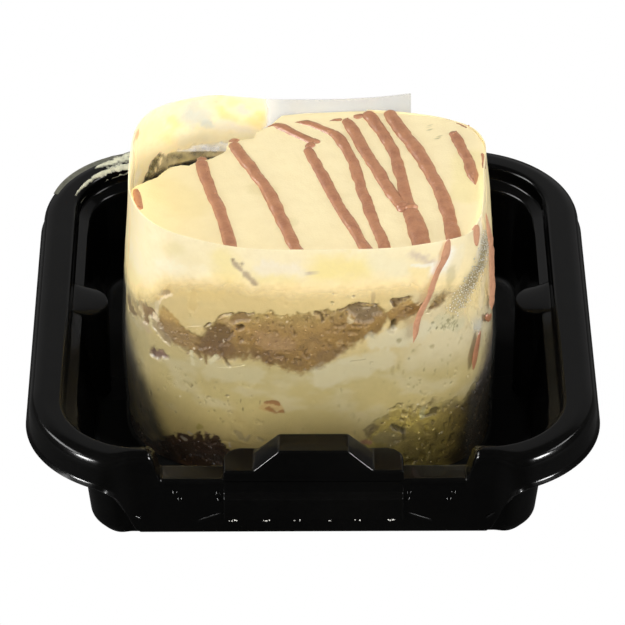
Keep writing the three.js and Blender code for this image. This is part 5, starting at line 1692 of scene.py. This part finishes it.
# %% Floor
floor_finish, tree, shader = new_material("pale_floor")
shader.inputs["Roughness"].default_value = 0.9
paper = noise(tree, node(tree, "ShaderNodeTexCoord").outputs["Object"], 30.0, 2.0)
tree.links.new(spread(tree, paper, 0.3, 0.7, 0.025, 0.035), shader.inputs["Base Color"])
glow = node(tree, "ShaderNodeEmission", {"Color": (1, 1, 1, 1), "Strength": 1.0})
seen = node(tree, "ShaderNodeLightPath").outputs["Is Camera Ray"]
chosen = node(tree, "ShaderNodeMixShader", {0: seen, 1: shader.outputs[0], 2: glow.outputs[0]})
tree.links.new(chosen.outputs[0], tree.nodes["Material Output"].inputs["Surface"])
floor_mesh = bpy.data.meshes.new("floor")
floor_mesh.from_pydata([(-3, -3, 0), (3, -3, 0), (3, 3, 0), (-3, 3, 0)], [], [(0, 1, 2, 3)])
floor_mesh.materials.append(floor_finish)
floor = bpy.data.objects.new("floor", floor_mesh)
bpy.context.scene.collection.objects.link(floor)

# %% Sky and lamps
sky = bpy.data.worlds.new("studio")
sky.use_nodes = True
bpy.context.scene.world = sky
tree = sky.node_tree
seen = node(tree, "ShaderNodeLightPath").outputs["Is Camera Ray"]
dome = node(tree, "ShaderNodeBackground", {"Color": (1.0, 0.98, 0.95, 1), "Strength": 0.16})
plain = node(tree, "ShaderNodeBackground", {"Color": (1, 1, 1, 1), "Strength": 1.0})
chosen = node(tree, "ShaderNodeMixShader", {0: seen, 1: dome.outputs[0], 2: plain.outputs[0]})
tree.links.new(chosen.outputs[0], tree.nodes["World Output"].inputs["Surface"])


def soft_lamp(name, place, aim, size, power, colour=(1, 1, 1), gloss=False):
    """An area lamp that faces a point. It shows either in reflections or as light, never both."""
    data = bpy.data.lights.new(name, "AREA")
    data.shape, data.size, data.size_y = "RECTANGLE", size[0], size[1]
    data.energy, data.color = power, colour
    lamp = bpy.data.objects.new(name, data)
    lamp.location = place
    direction = np.array(aim, float) - np.array(place, float)
    turn = math.atan2(direction[0], -direction[1])
    tip = math.acos(-direction[2] / np.linalg.norm(direction))
    lamp.rotation_euler = (tip, 0, turn + math.pi)
    lamp.visible_glossy, lamp.visible_diffuse = gloss, not gloss
    bpy.context.scene.collection.objects.link(lamp)
    print(name, "at", place, "power", power)


WARM = (1.0, 0.98, 0.94)
soft_lamp("overhead", (0.0, 0.05, 0.75), (0, 0, 0.05), (0.4, 0.4), 2.3)
soft_lamp("front_fill", (-0.1, -0.8, 0.45), (0, 0, 0.04), (0.5, 0.5), 4.2, WARM)
soft_lamp("left_fill", (-0.85, -0.4, 0.34), (0, 0, 0.05), (0.4, 0.3), 3.4, WARM)
soft_lamp("right_fill", (0.85, -0.4, 0.34), (0, 0, 0.05), (0.4, 0.3), 4.4, WARM)
soft_lamp("back_fill", (0.3, 0.9, 0.16), (0, 0, 0.04), (0.5, 0.2), 2.6, WARM)
soft_lamp("back_gloss", (0.0, 1.3, 0.75), (0, 0, 0.03), (2.6, 1.3), 4.1, gloss=True)
soft_lamp("left_gloss", (-0.75, 0.05, 0.6), (0, 0, 0.03), (0.5, 0.22), 10.0, gloss=True)
soft_lamp("right_gloss", (0.75, 0.05, 0.65), (0, 0, 0.03), (0.35, 0.16), 4.0, gloss=True)
for side, x in (("left", -0.85), ("right", 0.85)):
    soft_lamp(side + "_edge_gloss", (x, -0.46, 0.42), (0, 0, 0.03), (0.22, 0.22), 26.0, gloss=True)

# %% [markdown]
# ## Camera
# A long lens, a little over a metre away, looks down at about thirty-six degrees. The lens and the
# small shift place the tray in the frame without any depth of field.

# %% Camera
bpy.context.scene.view_settings.view_transform = "Standard"
bpy.context.scene.cycles.transparent_max_bounces = 24
AIM_HEIGHT = 0.0253
elevation, distance, swing = math.radians(35.702), 1.0646, 0.0058
camera_data = bpy.data.cameras.new("camera")
camera_data.lens, camera_data.sensor_width = 243.73, 36.0
camera_data.shift_x, camera_data.shift_y = 0.0008, 0.0174
camera = bpy.data.objects.new("camera", camera_data)
away = distance * math.cos(elevation)
camera.location = (-away * math.sin(swing), slide_y - away * math.cos(swing),
                   AIM_HEIGHT + distance * math.sin(elevation))
camera.rotation_euler = (math.pi / 2 - elevation, 0, -swing)
bpy.context.scene.collection.objects.link(camera)
bpy.context.scene.camera = camera
